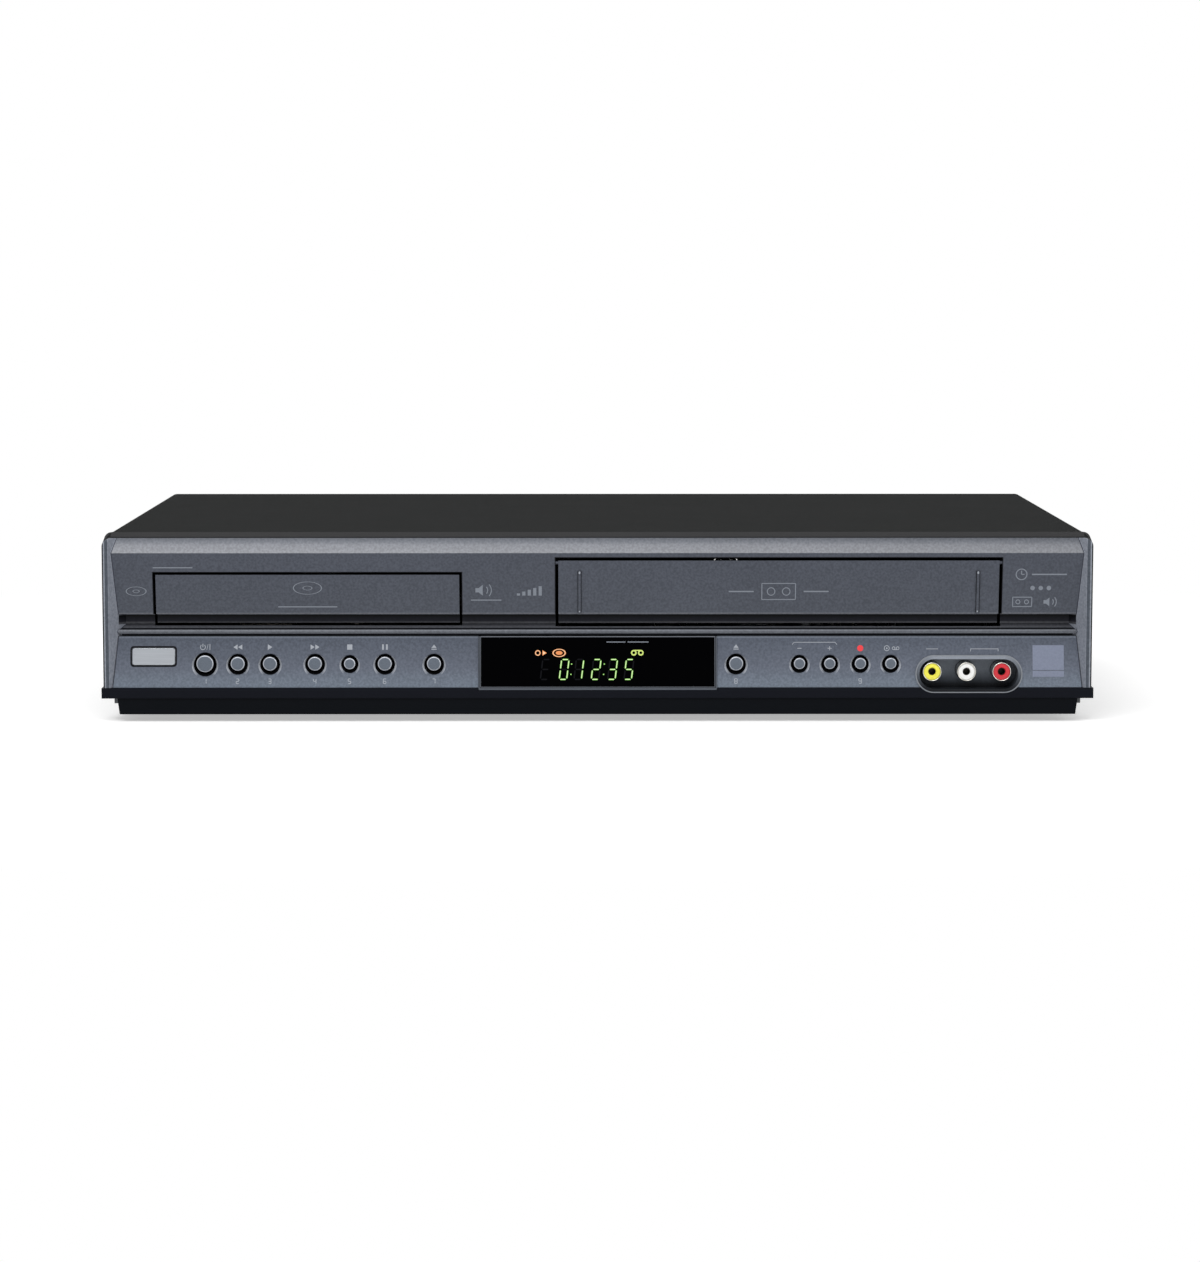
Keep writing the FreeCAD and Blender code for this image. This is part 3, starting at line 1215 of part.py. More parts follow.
def loader_frame():
    """The loader's tub: walls with tray rails, a floor with a window, posts and gear pins."""
    low = LOADER_FLOOR
    outer = box(TRAY_X - LOADER_HALF, TRAY_X + LOADER_HALF, LOADER_FRONT, LOADER_BACK,
                low, LOADER_TOP)
    inner = box(TRAY_X - LOADER_HALF + LOADER_WALL, TRAY_X + LOADER_HALF - LOADER_WALL,
                LOADER_FRONT - CUT, LOADER_BACK - LOADER_WALL, low + LOADER_WALL,
                LOADER_TOP + CUT)
    tub = outer.cut(inner)
    sill = box(TRAY_X - LOADER_HALF, TRAY_X + LOADER_HALF, LOADER_FRONT,
               LOADER_FRONT + LOADER_WALL, low, ROD_LEVEL - TRAY_CORNER)
    rails = []
    for side in (-1, 1):
        wall = TRAY_X + side * LOADER_HALF
        lip = TRAY_X + side * (TRAY_HALF + GAP)
        rails.append(box(min(wall, lip), max(wall, lip), LOADER_FRONT, LOADER_BACK,
                         RAIL_LEVEL - LOADER_WALL, RAIL_LEVEL))
        for step in range(4):
            start = LOADER_FRONT + step * (LOADER_LENGTH - TRAY_CORNER * 2) / 3
            rails.append(box(min(wall, lip), max(wall, lip), start, start + TRAY_CORNER * 2,
                             TRAY_UNDERSIDE + TRAY_LIP_THICKNESS + GAP,
                             TRAY_UNDERSIDE + TRAY_LIP_THICKNESS + GAP + LOADER_WALL))
    window = plate(TRAY_X - FLOOR_WINDOW_HALF, TRAY_X + FLOOR_WINDOW_HALF,
                   DISC_Y - TRAY_CORNER * 3, TRAVERSE_PIVOT_Y - TRAY_CORNER,
                   low - CUT, low + LOADER_WALL + CUT, TRAY_CORNER)
    legs = [rod(TRAY_CORNER / 2, (TRAY_X + side * (LOADER_HALF - TRAY_CORNER), y, FLOOR_TOP),
                (TRAY_X + side * (LOADER_HALF - TRAY_CORNER), y, low))
            for side in (-1, 1) for y in (LOADER_FRONT + TRAY_CORNER, LOADER_BACK - TRAY_CORNER)]
    columns = [rod(COLUMN_RADIUS, (GEAR_X, GEAR_Y, low),
                   (GEAR_X, GEAR_Y, GEAR_TOP - GEAR_THICKNESS - LEDGE - GAP)),
               rod(COLUMN_RADIUS, (PINION_X, GEAR_Y, low),
                   (PINION_X, GEAR_Y, PULLEY_TOP - PULLEY_THICKNESS - GAP)),
               post_shaft(GEAR_X, GEAR_Y, low, GEAR_TOP - GAP),
               post_shaft(PINION_X, GEAR_Y, low, GEAR_TOP - GEAR_THICKNESS / 2 - LEDGE)]
    ears = [box(x, x + MOULDING, TRAVERSE_PIVOT_Y - LEDGE * 3, TRAVERSE_PIVOT_Y + LEDGE * 3,
                low, TRAVERSE_PIVOT_LEVEL + LEDGE * 2) for x in traverse_ears()]
    ear_bore = rod(ROD_RADIUS + RUNNING,
                   (TRAY_X - LOADER_HALF, TRAVERSE_PIVOT_Y, TRAVERSE_PIVOT_LEVEL),
                   (TRAY_X + LOADER_HALF, TRAVERSE_PIVOT_Y, TRAVERSE_PIVOT_LEVEL))
    ears = [ear.cut(ear_bore) for ear in ears]
    return fused([tub.cut(window), sill] + rails + legs + columns + ears)


def traverse_ears():
    """The left side of each ear that carries the traverse's pins."""
    left = TRAY_X - TRAVERSE_HALF - GAP * 2 - MOULDING
    right = TRAY_X + TRAVERSE_HALF + LEDGE * 2 + GAP * 2
    return (left, right)


def traverse_frame():
    """The sub-frame that carries the spindle and the pickup on its two rods."""
    base = plate(TRAY_X - TRAVERSE_HALF, TRAY_X + TRAVERSE_HALF + LEDGE * 2, TRAVERSE_FRONT,
                 TRAVERSE_BACK, TRAVERSE_LEVEL, TRAVERSE_LEVEL + TRAVERSE_THICKNESS, TRAY_CORNER)
    window = plate(TRAY_X - ROD_SPACING / 2 + LEDGE * 2, TRAY_X + ROD_SPACING / 2 - LEDGE * 2,
                   PICKUP_START - LEDGE, TRAVERSE_BACK - TRAY_CORNER * 2,
                   TRAVERSE_LEVEL - CUT, TRAVERSE_LEVEL + MOULDING * 2, LEDGE * 2)
    stands = []
    for side in (-1, 1):
        x = TRAY_X + side * ROD_SPACING / 2
        for y in rod_ends():
            stands.append(box(x - LEDGE * 2, x + LEDGE * 2, y - LEDGE * 2, y + LEDGE * 2,
                              TRAVERSE_LEVEL, ROD_LEVEL + ROD_RADIUS + LEDGE))
    bearing = rod(LEDGE * 2, (TRAY_X, DISC_Y, TRAVERSE_LEVEL - LEDGE * 3),
                  (TRAY_X, DISC_Y, TRAVERSE_LEVEL + TRAVERSE_THICKNESS + LEDGE))
    screw_end = box(SCREW_X - LEDGE * 2, SCREW_X + LEDGE * 2, rod_ends()[1] - LEDGE * 2,
                    rod_ends()[1] + LEDGE * 2, TRAVERSE_LEVEL, ROD_LEVEL + LEDGE * 2)
    bores = [rod(ROD_RADIUS, (TRAY_X + side * ROD_SPACING / 2, rod_ends()[0] - LEDGE, ROD_LEVEL),
                 (TRAY_X + side * ROD_SPACING / 2, rod_ends()[1] + LEDGE, ROD_LEVEL))
             for side in (-1, 1)]
    shaft_bore = rod(GEAR_PIN_RADIUS + RUNNING, (TRAY_X, DISC_Y, 0), (TRAY_X, DISC_Y, HEIGHT))
    screw_bore = rod(LEAD_RADIUS / 2 + RUNNING, (SCREW_X, rod_ends()[1] - LEDGE * 3, ROD_LEVEL),
                     (SCREW_X, rod_ends()[1] + LEDGE, ROD_LEVEL))
    left, right = traverse_ears()
    pins = [rod(ROD_RADIUS, (start, TRAVERSE_PIVOT_Y, TRAVERSE_PIVOT_LEVEL),
                (end, TRAVERSE_PIVOT_Y, TRAVERSE_PIVOT_LEVEL))
            for start, end in ((left - LEDGE, left + TRAY_CORNER),
                               (right - TRAY_CORNER, right + MOULDING + LEDGE))]
    whole = fused([base] + stands + [bearing, screw_end] + pins)
    return whole.cut([window] + bores + [shaft_bore, screw_bore])


def rod_ends():
    """Where the guide rods' two supports stand along Y."""
    return (PICKUP_START - LEDGE * 3, PICKUP_START + PICKUP_LENGTH + PICKUP_TRAVEL + LEDGE * 3)


def guide_rods():
    """The two ground rods that the pickup slides on."""
    return [rod(ROD_RADIUS, (TRAY_X + side * ROD_SPACING / 2, rod_ends()[0] - LEDGE, ROD_LEVEL),
                (TRAY_X + side * ROD_SPACING / 2, rod_ends()[1] + LEDGE, ROD_LEVEL))
            for side in (-1, 1)]


def turntable():
    """The spindle: shaft, rotor bell, disc table and centring cone in one turned form."""
    shaft_low = TRAVERSE_LEVEL - LEDGE * 2
    bell_low = TRAVERSE_LEVEL + TRAVERSE_THICKNESS + LEDGE + GAP
    bell_roof = bell_low + LEDGE * 3
    outline = [(0, shaft_low), (GEAR_PIN_RADIUS, shaft_low), (GEAR_PIN_RADIUS, bell_roof),
               (TURNTABLE_RADIUS - LEDGE * 2, bell_roof), (TURNTABLE_RADIUS - LEDGE * 2, bell_low),
               (TURNTABLE_RADIUS - LEDGE, bell_low),
               (TURNTABLE_RADIUS - LEDGE, DISC_SEAT - LEDGE * 2),
               (TURNTABLE_RADIUS, DISC_SEAT - LEDGE), (TURNTABLE_RADIUS, DISC_SEAT),
               (HUB_RADIUS, DISC_SEAT), (HUB_RADIUS, DISC_SEAT + CONE_STEP),
               (HUB_RADIUS - LEDGE, DISC_SEAT + CONE_HEIGHT), (0, DISC_SEAT + CONE_HEIGHT)]
    return turned(outline, (TRAY_X, DISC_Y, 0))


def optical_pickup():
    """The sliding pickup: a body on two rods, the actuator and its lens, and a screw follower."""
    low = ROD_LEVEL - LEDGE * 2
    high = ROD_LEVEL + LEDGE * 2
    half = ROD_SPACING / 2 + LEDGE * 2
    start = PICKUP_START
    end = PICKUP_START + PICKUP_LENGTH
    body = box(TRAY_X - half, TRAY_X + half, start, end, low, high)
    actuator = plate(TRAY_X - ACTUATOR_HALF, TRAY_X + ACTUATOR_HALF, start + LEDGE,
                     end - LEDGE * 3, high - CUT, DISC_SEAT - LEDGE * 2, LEDGE)
    lens = turned([(0, 0), (LEDGE * 2, 0), (LEDGE * 2, LEDGE / 2), (LEDGE, LEDGE), (0, LEDGE)],
                  (TRAY_X, (start + end) / 2 - LEDGE, DISC_SEAT - LEDGE * 2))
    arm_end = SCREW_X - LEAD_RADIUS - GAP
    arm = box(TRAY_X + half - CUT, arm_end, start + TRAY_CORNER, end - TRAY_CORNER,
              low + LEDGE / 2, high - LEDGE / 2)
    bores = [rod(ROD_RADIUS + RUNNING, (TRAY_X + side * ROD_SPACING / 2, start - CUT, ROD_LEVEL),
                 (TRAY_X + side * ROD_SPACING / 2, end + CUT, ROD_LEVEL)) for side in (-1, 1)]
    return fused([body, actuator, lens, arm]).cut(bores)


def feed_motor():
    """The small motor at the front of the lead screw."""
    y = rod_ends()[0]
    radius = ROD_LEVEL - TRAVERSE_LEVEL - TRAVERSE_THICKNESS
    can = rod(radius, (SCREW_X, y - TRAY_CORNER, ROD_LEVEL), (SCREW_X, y, ROD_LEVEL))
    bore = rod(LEAD_RADIUS / 2 + RUNNING, (SCREW_X, y - LEDGE * 2, ROD_LEVEL),
               (SCREW_X, y + LEDGE, ROD_LEVEL))
    return can.cut(bore)


def lead_screw():
    """The screw that moves the pickup, with thin journals at both ends."""
    first, last = rod_ends()
    bar = rod(LEAD_RADIUS, (SCREW_X, first + GAP, ROD_LEVEL),
              (SCREW_X, last - LEDGE * 2 - GAP, ROD_LEVEL))
    journals = rod(LEAD_RADIUS / 2, (SCREW_X, first - LEDGE, ROD_LEVEL),
                   (SCREW_X, last, ROD_LEVEL))
    return fused([bar, journals])


def clamp_bridge():
    """The steel strip across the loader that carries the clamper."""
    level = LOADER_TOP
    strip = plate(TRAY_X - LOADER_HALF, TRAY_X + LOADER_HALF, DISC_Y - CLAMP_STRIP / 2,
                  DISC_Y + CLAMP_STRIP / 2, level, level + STEEL, LEDGE * 2)
    ring = rod(CLAMPER_RADIUS + LEDGE * 3, (TRAY_X, DISC_Y, level), (TRAY_X, DISC_Y, level + STEEL))
    hole = rod(HUB_RADIUS + GAP * 3, (TRAY_X, DISC_Y, level - CUT), (TRAY_X, DISC_Y, level + LEDGE))
    return fused([strip, ring]).cut(hole)


def clamper():
    """The magnetic clamper, hung in the bridge's hole between its two flanges."""
    low = TRAY_RIM + LEDGE
    flange = LOADER_TOP + STEEL + GAP
    outline = [(0, low), (CLAMPER_RADIUS - LEDGE, low), (CLAMPER_RADIUS - LEDGE, low + LEDGE / 2),
               (HUB_RADIUS, low + LEDGE / 2), (HUB_RADIUS, flange), (CLAMPER_RADIUS, flange),
               (CLAMPER_RADIUS, flange + LEDGE), (0, flange + LEDGE)]
    return turned(outline, (TRAY_X, DISC_Y, 0))


# ---------------------------------------------------------------- cassette deck

def cassette_flap():
    """The flap: the panel's raked section, two raised ribs and a pin at each end."""
    half = FLAP_WIDTH / 2
    top = face_setback(FLAP_TOP)
    lip = BAND_TOP - BAND_LIP
    section = setback_points([
        (BAND_SETBACK, FLAP_BOTTOM), (BAND_SETBACK, lip), (FACE_FOOT_SETBACK, BAND_TOP),
        (top, FLAP_TOP), (top + MOULDING, FLAP_TOP),
        (FACE_FOOT_SETBACK + MOULDING, lip + MOULDING), (BAND_SETBACK + MOULDING, lip + MOULDING),
        (BAND_SETBACK + MOULDING, FLAP_BOTTOM)])
    face = along_x(section, DECK_X - half, DECK_X + half)
    rib_low = BAND_TOP + FLAP_RIB_RAISE
    rib_high = FLAP_TOP - BAND_SETBACK / 2
    ribs = []
    for side in (-1, 1):
        x = DECK_X + side * (half - FLAP_RIB_INSET)
        outline = setback_points([
            (face_setback(rib_low) - FLAP_RIB_RAISE, rib_low), (face_setback(rib_low) + CUT, rib_low),
            (face_setback(rib_high) + CUT, rib_high),
            (face_setback(rib_high) - FLAP_RIB_RAISE, rib_high)])
        ribs.append(along_x(outline, x - FLAP_RIB_WIDTH / 2, x + FLAP_RIB_WIDTH / 2))
    y = FRONT + flap_axis_setback()
    reach = FLAP_GAP + MOULDING - GAP
    pins = [rod(FLAP_PIN_RADIUS, (DECK_X + side * (half - LEDGE), y, FLAP_PIN_LEVEL),
                (DECK_X + side * (half + reach), y, FLAP_PIN_LEVEL)) for side in (-1, 1)]
    return fused([face] + ribs + pins)


def cassette_carriage():
    """The cassette holder: a bent C section with ledges, rear stops and guide pins."""
    half = CARRIAGE_HALF
    low = CARRIAGE_LOW
    top = CARRIAGE_TOP
    ledge = half - CARRIAGE_LEDGE
    outline = [(-half, low), (-ledge, low), (-ledge, low + STEEL), (-half + STEEL, low + STEEL),
               (-half + STEEL, top - STEEL), (half - STEEL, top - STEEL),
               (half - STEEL, low + STEEL), (ledge, low + STEEL), (ledge, low), (half, low),
               (half, top), (-half, top)]
    back = CASSETTE_BACK + CASSETTE_FIT
    section = along_y([(DECK_X + x, z) for x, z in outline], CARRIAGE_FRONT, back + STEEL)
    stops = [box(DECK_X + side * (half - CARRIAGE_LEDGE / 2) - TRAY_CORNER / 2,
                 DECK_X + side * (half - CARRIAGE_LEDGE / 2) + TRAY_CORNER / 2,
                 back, back + STEEL, low, low + TRAY_CORNER) for side in (-1, 1)]
    window = plate(DECK_X - half / 2, DECK_X + half / 2, CARRIAGE_FRONT + CARRIAGE_LEDGE,
                   back - CARRIAGE_LEDGE, top - LEDGE, top + CUT, TRAY_CORNER)
    pins = [rod(PIN_RADIUS, (DECK_X + side * (half - CUT), y, PIN_LEVEL),
                (DECK_X + side * (SLIDER_INNER + STEEL + CUT), y, PIN_LEVEL))
            for side in (-1, 1) for y in PIN_PLACES]
    return fused([section.cut(window)] + stops + pins)


def slot_x(x, y, z_low, z_high, radius):
    """An upright round-ended slot through a plate square to X."""
    ends = [rod(radius, (x - LEDGE * 2, y, z), (x + LEDGE * 2, y, z)) for z in (z_low, z_high)]
    return fused([box(x - LEDGE * 2, x + LEDGE * 2, y - radius, y + radius, z_low, z_high)] + ends)


def level_slot_x(x, y_low, y_high, z, radius):
    """A level round-ended slot through a plate square to X."""
    ends = [rod(radius, (x - LEDGE * 2, y, z), (x + LEDGE * 2, y, z)) for y in (y_low, y_high)]
    return fused([box(x - LEDGE * 2, x + LEDGE * 2, y_low, y_high, z - radius, z + radius)] + ends)


def carriage_slider():
    """Two side plates and a bridge that draw the carriage in; upright slots let it down."""
    front = PIN_PLACES[0] - TRAY_CORNER
    back = PIN_PLACES[1] + TRAY_CORNER
    low = PIN_LEVEL - CARRIAGE_DOWN - PIN_RADIUS * 3
    top = CARRIAGE_TOP + MOULDING
    inner = SLIDER_INNER
    outer = inner + STEEL
    shapes = [along_y([(DECK_X - outer, low), (DECK_X - inner, low), (DECK_X - inner, top),
                       (DECK_X + inner, top), (DECK_X + inner, low), (DECK_X + outer, low),
                       (DECK_X + outer, top + STEEL), (DECK_X - outer, top + STEEL)],
                      front, back)]
    opening = plate(DECK_X - inner + TRAY_CORNER, DECK_X + inner - TRAY_CORNER,
                    front + TRAY_CORNER, back - TRAY_CORNER, top - CUT, HEIGHT, LEDGE)
    cuts = [opening]
    for side in (-1, 1):
        x = DECK_X + side * (inner + outer) / 2
        for y in PIN_PLACES:
            cuts.append(slot_x(x, y, PIN_LEVEL - CARRIAGE_DOWN, PIN_LEVEL, PIN_RADIUS + SLOT_FIT))
            shapes.append(rod(PIN_RADIUS, (DECK_X + side * (outer - CUT), y, STUD_LEVEL),
                              (DECK_X + side * (BRACKET_INNER + STEEL * 2), y, STUD_LEVEL)))
    return fused([shapes[0].cut(cuts)] + shapes[1:])


def bracket(side):
    """A side bracket with level slots for the slider's studs and a foot on the deck."""
    inner = BRACKET_INNER
    outer = inner + STEEL
    foot = DECK_HALF
    front = CARRIAGE_FRONT - STEEL * 3
    back = CASSETTE_END + LEDGE * 2
    top = COVER_UNDERSIDE - MOULDING
    outline = [(side * inner, DECK_TOP), (side * foot, DECK_TOP), (side * foot, DECK_TOP + STEEL),
               (side * outer, DECK_TOP + STEEL), (side * outer, top), (side * inner, top)]
    wall = along_y([(DECK_X + x, z) for x, z in outline], front, back)
    slots = [level_slot_x(DECK_X + side * (inner + outer) / 2, y, y + CARRIAGE_IN, STUD_LEVEL,
                          PIN_RADIUS + SLOT_FIT) for y in PIN_PLACES]
    return wall.cut(slots)


def bracket_tie():
    """The strip that joins the two brackets behind the carriage."""
    top = COVER_UNDERSIDE - MOULDING
    half = BRACKET_INNER + STEEL
    back = CASSETTE_END + LEDGE * 2
    return box(DECK_X - half, DECK_X + half, back - TRAY_CORNER, back, top, top + STEEL)


def deck_plate():
    """The deck: a steel plate on four posts, with reel pins, a bearing and a pivot pin."""
    body = plate(DECK_X - DECK_HALF, DECK_X + DECK_HALF, DECK_FRONT, DECK_BACK,
                 DECK_LEVEL, DECK_TOP, TRAY_CORNER)
    posts = [rod(TRAY_CORNER / 2, (DECK_X + side * (DECK_HALF - TRAY_CORNER), y, FLOOR_TOP),
                 (DECK_X + side * (DECK_HALF - TRAY_CORNER), y, DECK_LEVEL))
             for side in (-1, 1) for y in (DECK_FRONT + TRAY_CORNER, DECK_BACK - TRAY_CORNER)]
    reel_pins = [rod(LEDGE, (DECK_X + side * REEL_SPACING / 2, REEL_Y, DECK_LEVEL),
                     (DECK_X + side * REEL_SPACING / 2, REEL_Y, TAPE_LOW + LEDGE))
                 for side in (-1, 1)]
    bearing = rod(CAPSTAN_RADIUS * 2, (CAPSTAN_X, CAPSTAN_Y, DECK_LEVEL),
                  (CAPSTAN_X, CAPSTAN_Y, TAPE_LOW - MOULDING))
    pivot = rod(PIN_RADIUS, (PINCH_PIVOT_X, PINCH_PIVOT_Y, DECK_LEVEL),
                (PINCH_PIVOT_X, PINCH_PIVOT_Y, TAPE_LOW - GAP))
    bore = rod(CAPSTAN_RADIUS + RUNNING, (CAPSTAN_X, CAPSTAN_Y, 0), (CAPSTAN_X, CAPSTAN_Y, HEIGHT))
    windows = [plate(DECK_X + side * REEL_SPACING / 4 - TRAY_CORNER,
                     DECK_X + side * REEL_SPACING / 4 + TRAY_CORNER, DECK_FRONT + TRAY_CORNER,
                     REEL_Y - REEL_RADIUS - LEDGE, 0, DECK_TOP + CUT, LEDGE) for side in (-1, 1)]
    return fused([body] + posts + reel_pins + [bearing, pivot]).cut([bore] + windows)


def reel(x):
    """A reel table: a disc, a hub with three splines and a running bore."""
    low = DECK_TOP + GAP
    hub_top = CASSETTE_LEVEL - CARRIAGE_DOWN + CASSETTE_HEIGHT / 2
    bore = LEDGE + RUNNING
    disc_top = low + REEL_DISC
    outline = [(bore, low), (REEL_RADIUS, low), (REEL_RADIUS, disc_top), (REEL_HUB, disc_top),
               (REEL_HUB, hub_top - LEDGE), (REEL_HUB - LEDGE, hub_top), (0, hub_top),
               (0, TAPE_LOW + LEDGE + GAP), (bore, TAPE_LOW + LEDGE + GAP)]
    body = turned(outline, (x, REEL_Y, 0))
    splines = []
    for index in range(REEL_SPLINES):
        spline = box(REEL_HUB - LEDGE, REEL_HUB + LEDGE, -LEDGE / 2, LEDGE / 2,
                     disc_top, hub_top - LEDGE * 2)
        spline.rotate(FreeCAD.Vector(0, 0, 0), FreeCAD.Vector(0, 0, 1), index * 360 / REEL_SPLINES)
        spline.translate(FreeCAD.Vector(x, REEL_Y, 0))
        splines.append(spline)
    return fused([body] + splines)


def lower_drum():
    """The fixed half of the tilted head drum, with its base on the deck."""
    foot = (DECK_X, DRUM_Y, DRUM_BASE)
    bore = CAPSTAN_RADIUS + RUNNING
    outline = [(bore, 0), (DRUM_RADIUS, 0), (DRUM_RADIUS, LOWER_DRUM), (bore, LOWER_DRUM)]
    drum = turned(outline, foot, DRUM_AXIS)
    base = rod(DRUM_FOOT_RADIUS, (DECK_X, DRUM_Y, DECK_TOP), (DECK_X, DRUM_Y, DRUM_BASE + MOULDING))
    shaft_way = turned([(0, -DRUM_RADIUS), (bore, -DRUM_RADIUS), (bore, LOWER_DRUM + CUT),
                        (0, LOWER_DRUM + CUT)], foot, DRUM_AXIS)
    return drum.fuse(base).cut(shaft_way)


def upper_drum():
    """The spinning half of the head drum, its hub and its shaft in one turned form."""
    low = LOWER_DRUM + DRUM_GAP
    high = low + UPPER_DRUM
    outline = [(0, LEDGE), (CAPSTAN_RADIUS, LEDGE), (CAPSTAN_RADIUS, low), (DRUM_RADIUS, low),
               (DRUM_RADIUS, high - LEDGE / 2), (DRUM_RADIUS - LEDGE / 2, high),
               (DRUM_HUB, high), (DRUM_HUB, high + MOULDING), (0, high + MOULDING)]
    return turned(outline, (DECK_X, DRUM_Y, DRUM_BASE), DRUM_AXIS)


def capstan():
    """The capstan shaft and the flat rotor under the deck."""
    rotor_low = FLOOR_TOP + LEDGE
    rotor_high = DECK_LEVEL - LEDGE
    outline = [(0, rotor_low), (ROTOR_RADIUS, rotor_low), (ROTOR_RADIUS, rotor_high),
               (CAPSTAN_RADIUS, rotor_high), (CAPSTAN_RADIUS, TAPE_HIGH + TRAY_CORNER),
               (0, TAPE_HIGH + TRAY_CORNER)]
    return turned(outline, (CAPSTAN_X, CAPSTAN_Y, 0))


def pinch_rest():
    """The pinch roller's centre with the arm swung back from the capstan."""
    dx = CAPSTAN_X - PINCH_PIVOT_X
    dy = CAPSTAN_Y - PINCH_PIVOT_Y
    span = math.hypot(dx, dy)
    reach = CAPSTAN_RADIUS + PINCH_RADIUS + GAP
    spread = math.acos((PINCH_ARM ** 2 + span ** 2 - reach ** 2) / (2 * PINCH_ARM * span))
    angle = math.atan2(dy, dx) - spread - math.radians(PINCH_SWING)
    return (PINCH_PIVOT_X + PINCH_ARM * math.cos(angle),
            PINCH_PIVOT_Y + PINCH_ARM * math.sin(angle))


def pinch_arm():
    """The arm that carries the pinch roller on a pin."""
    x, y = pinch_rest()
    low = TAPE_LOW - MOULDING * 2
    high = TAPE_LOW - MOULDING
    width = PIN_RADIUS * 2
    angle = math.atan2(y - PINCH_PIVOT_Y, x - PINCH_PIVOT_X)
    across = (-math.sin(angle) * width / 2, math.cos(angle) * width / 2)
    web = along_z([(PINCH_PIVOT_X - across[0], PINCH_PIVOT_Y - across[1]),
                   (x - across[0], y - across[1]), (x + across[0], y + across[1]),
                   (PINCH_PIVOT_X + across[0], PINCH_PIVOT_Y + across[1])], low, high)
    ends = [rod(width, (PINCH_PIVOT_X, PINCH_PIVOT_Y, low), (PINCH_PIVOT_X, PINCH_PIVOT_Y, high)),
            rod(width, (x, y, low), (x, y, high)),
            rod(LEDGE, (x, y, low), (x, y, TAPE_HIGH + LEDGE))]
    bore = rod(PIN_RADIUS + RUNNING, (PINCH_PIVOT_X, PINCH_PIVOT_Y, 0),
               (PINCH_PIVOT_X, PINCH_PIVOT_Y, HEIGHT))
    return fused([web] + ends).cut(bore)


def pinch_roller():
    """The rubber roller on the arm's pin."""
    x, y = pinch_rest()
    bore = LEDGE + RUNNING
    low = TAPE_LOW - MOULDING + GAP
    outline = [(bore, low), (PINCH_RADIUS, low), (PINCH_RADIUS, TAPE_HIGH), (bore, TAPE_HIGH)]
    return turned(outline, (x, y, 0))


def tape_heads():
    """The erase head and the sound head on their posts, beside the drum."""
    heads = []
    for side, y in ((-1, DRUM_Y - DRUM_RADIUS / 2), (1, DRUM_Y + DRUM_RADIUS / 3)):
        x = DECK_X + side * (DRUM_RADIUS + CARRIAGE_LEDGE)
        post = rod(PIN_RADIUS, (x, y, DECK_TOP), (x, y, TAPE_LOW))
        block = box(x - TRAY_CORNER / 2, x + TRAY_CORNER / 2, y - TRAY_CORNER, y + TRAY_CORNER,
                    TAPE_LOW, TAPE_HIGH)
        heads.append(fused([post, block]))
    return heads


def guide_posts():
    """Four flanged tape guides on the deck."""
    flange = PIN_RADIUS + LEDGE
    outline = [(0, DECK_TOP), (PIN_RADIUS, DECK_TOP), (PIN_RADIUS, TAPE_LOW - STEEL),
               (flange, TAPE_LOW - STEEL), (flange, TAPE_LOW), (PIN_RADIUS, TAPE_LOW),
               (PIN_RADIUS, TAPE_HIGH), (flange, TAPE_HIGH), (flange, TAPE_HIGH + STEEL),
               (0, TAPE_HIGH + STEEL)]
    places = [(side * (DRUM_RADIUS + GUIDE_CLEARANCE), DRUM_Y + offset)
              for side in (-1, 1) for offset in (-CARRIAGE_LEDGE, TRAY_CORNER)]
    return [turned(outline, (DECK_X + x, y, 0)) for x, y in places]


# ---------------------------------------------------------------- writing

def write_piece(name, shape):
    """Write one piece, or one group of like pieces, as a STEP file."""
    whole = Part.makeCompound(shape) if isinstance(shape, list) else shape
    whole.exportStep("parts/" + name + ".step")


def all_pieces():
    """Every piece by its name."""
    pieces = {
        "top_cover": top_cover(),
        "cover_screws": cover_screws(),
        "bottom_chassis": bottom_chassis(),
        "feet": feet(),
        "rear_panel": rear_panel(),
        "rear_sockets": rear_phono_shells() + rear_phono_inserts() + [s_video_socket()],
        "socket_blocks": rear_socket_blocks() + [front_jack_block()],
        "ac_inlet": ac_inlet(),
        "main_board": main_board(),
        "power_board": power_board(),
        "front_panel": front_panel(),
        "control_panel": control_panel(),
        "front_skirt": front_skirt(),
        "display_window": display_window(),
        "display_bezel": display_bezel(),
        "front_board": [front_board(), display_tube()] + key_switches(),
        "jack_bezel": jack_bezel(),
        "front_sockets": front_sockets(),
        "loader_frame": loader_frame(),
        "tray_door": tray_door(),
        "disc_tray": disc_tray(),
        "tray_gear": tray_gear(),
        "loading_pulley": loading_pulley(),
        "loading_belt": loading_belt(),
        "motor_pulley": motor_pulley(),
        "loading_motor": loading_motor(),
        "traverse_frame": traverse_frame(),
        "guide_rods": guide_rods(),
        "turntable": turntable(),
        "optical_pickup": optical_pickup(),
        "feed_motor": feed_motor(),
        "lead_screw": lead_screw(),
        "clamp_bridge": clamp_bridge(),
        "clamper": clamper(),
        "deck_plate": deck_plate(),
        "carriage_brackets": [bracket(-1), bracket(1), bracket_tie()],
        "carriage_slider": carriage_slider(),
        "cassette_carriage": cassette_carriage(),
        "cassette_flap": cassette_flap(),
        "lower_drum": lower_drum(),
        "upper_drum": upper_drum(),
        "capstan": capstan(),
        "pinch_arm": pinch_arm(),
        "pinch_roller": pinch_roller(),
        "supply_reel": reel(DECK_X - REEL_SPACING / 2),
        "takeup_reel": reel(DECK_X + REEL_SPACING / 2),
        "tape_guides": tape_heads() + guide_posts(),
    }
    for name, (x, cap) in BUTTONS.items():
        pieces[name] = button(x, cap)
    return pieces


os.makedirs("parts", exist_ok=True)
for piece_name, piece in all_pieces().items():
    write_piece(piece_name, piece)
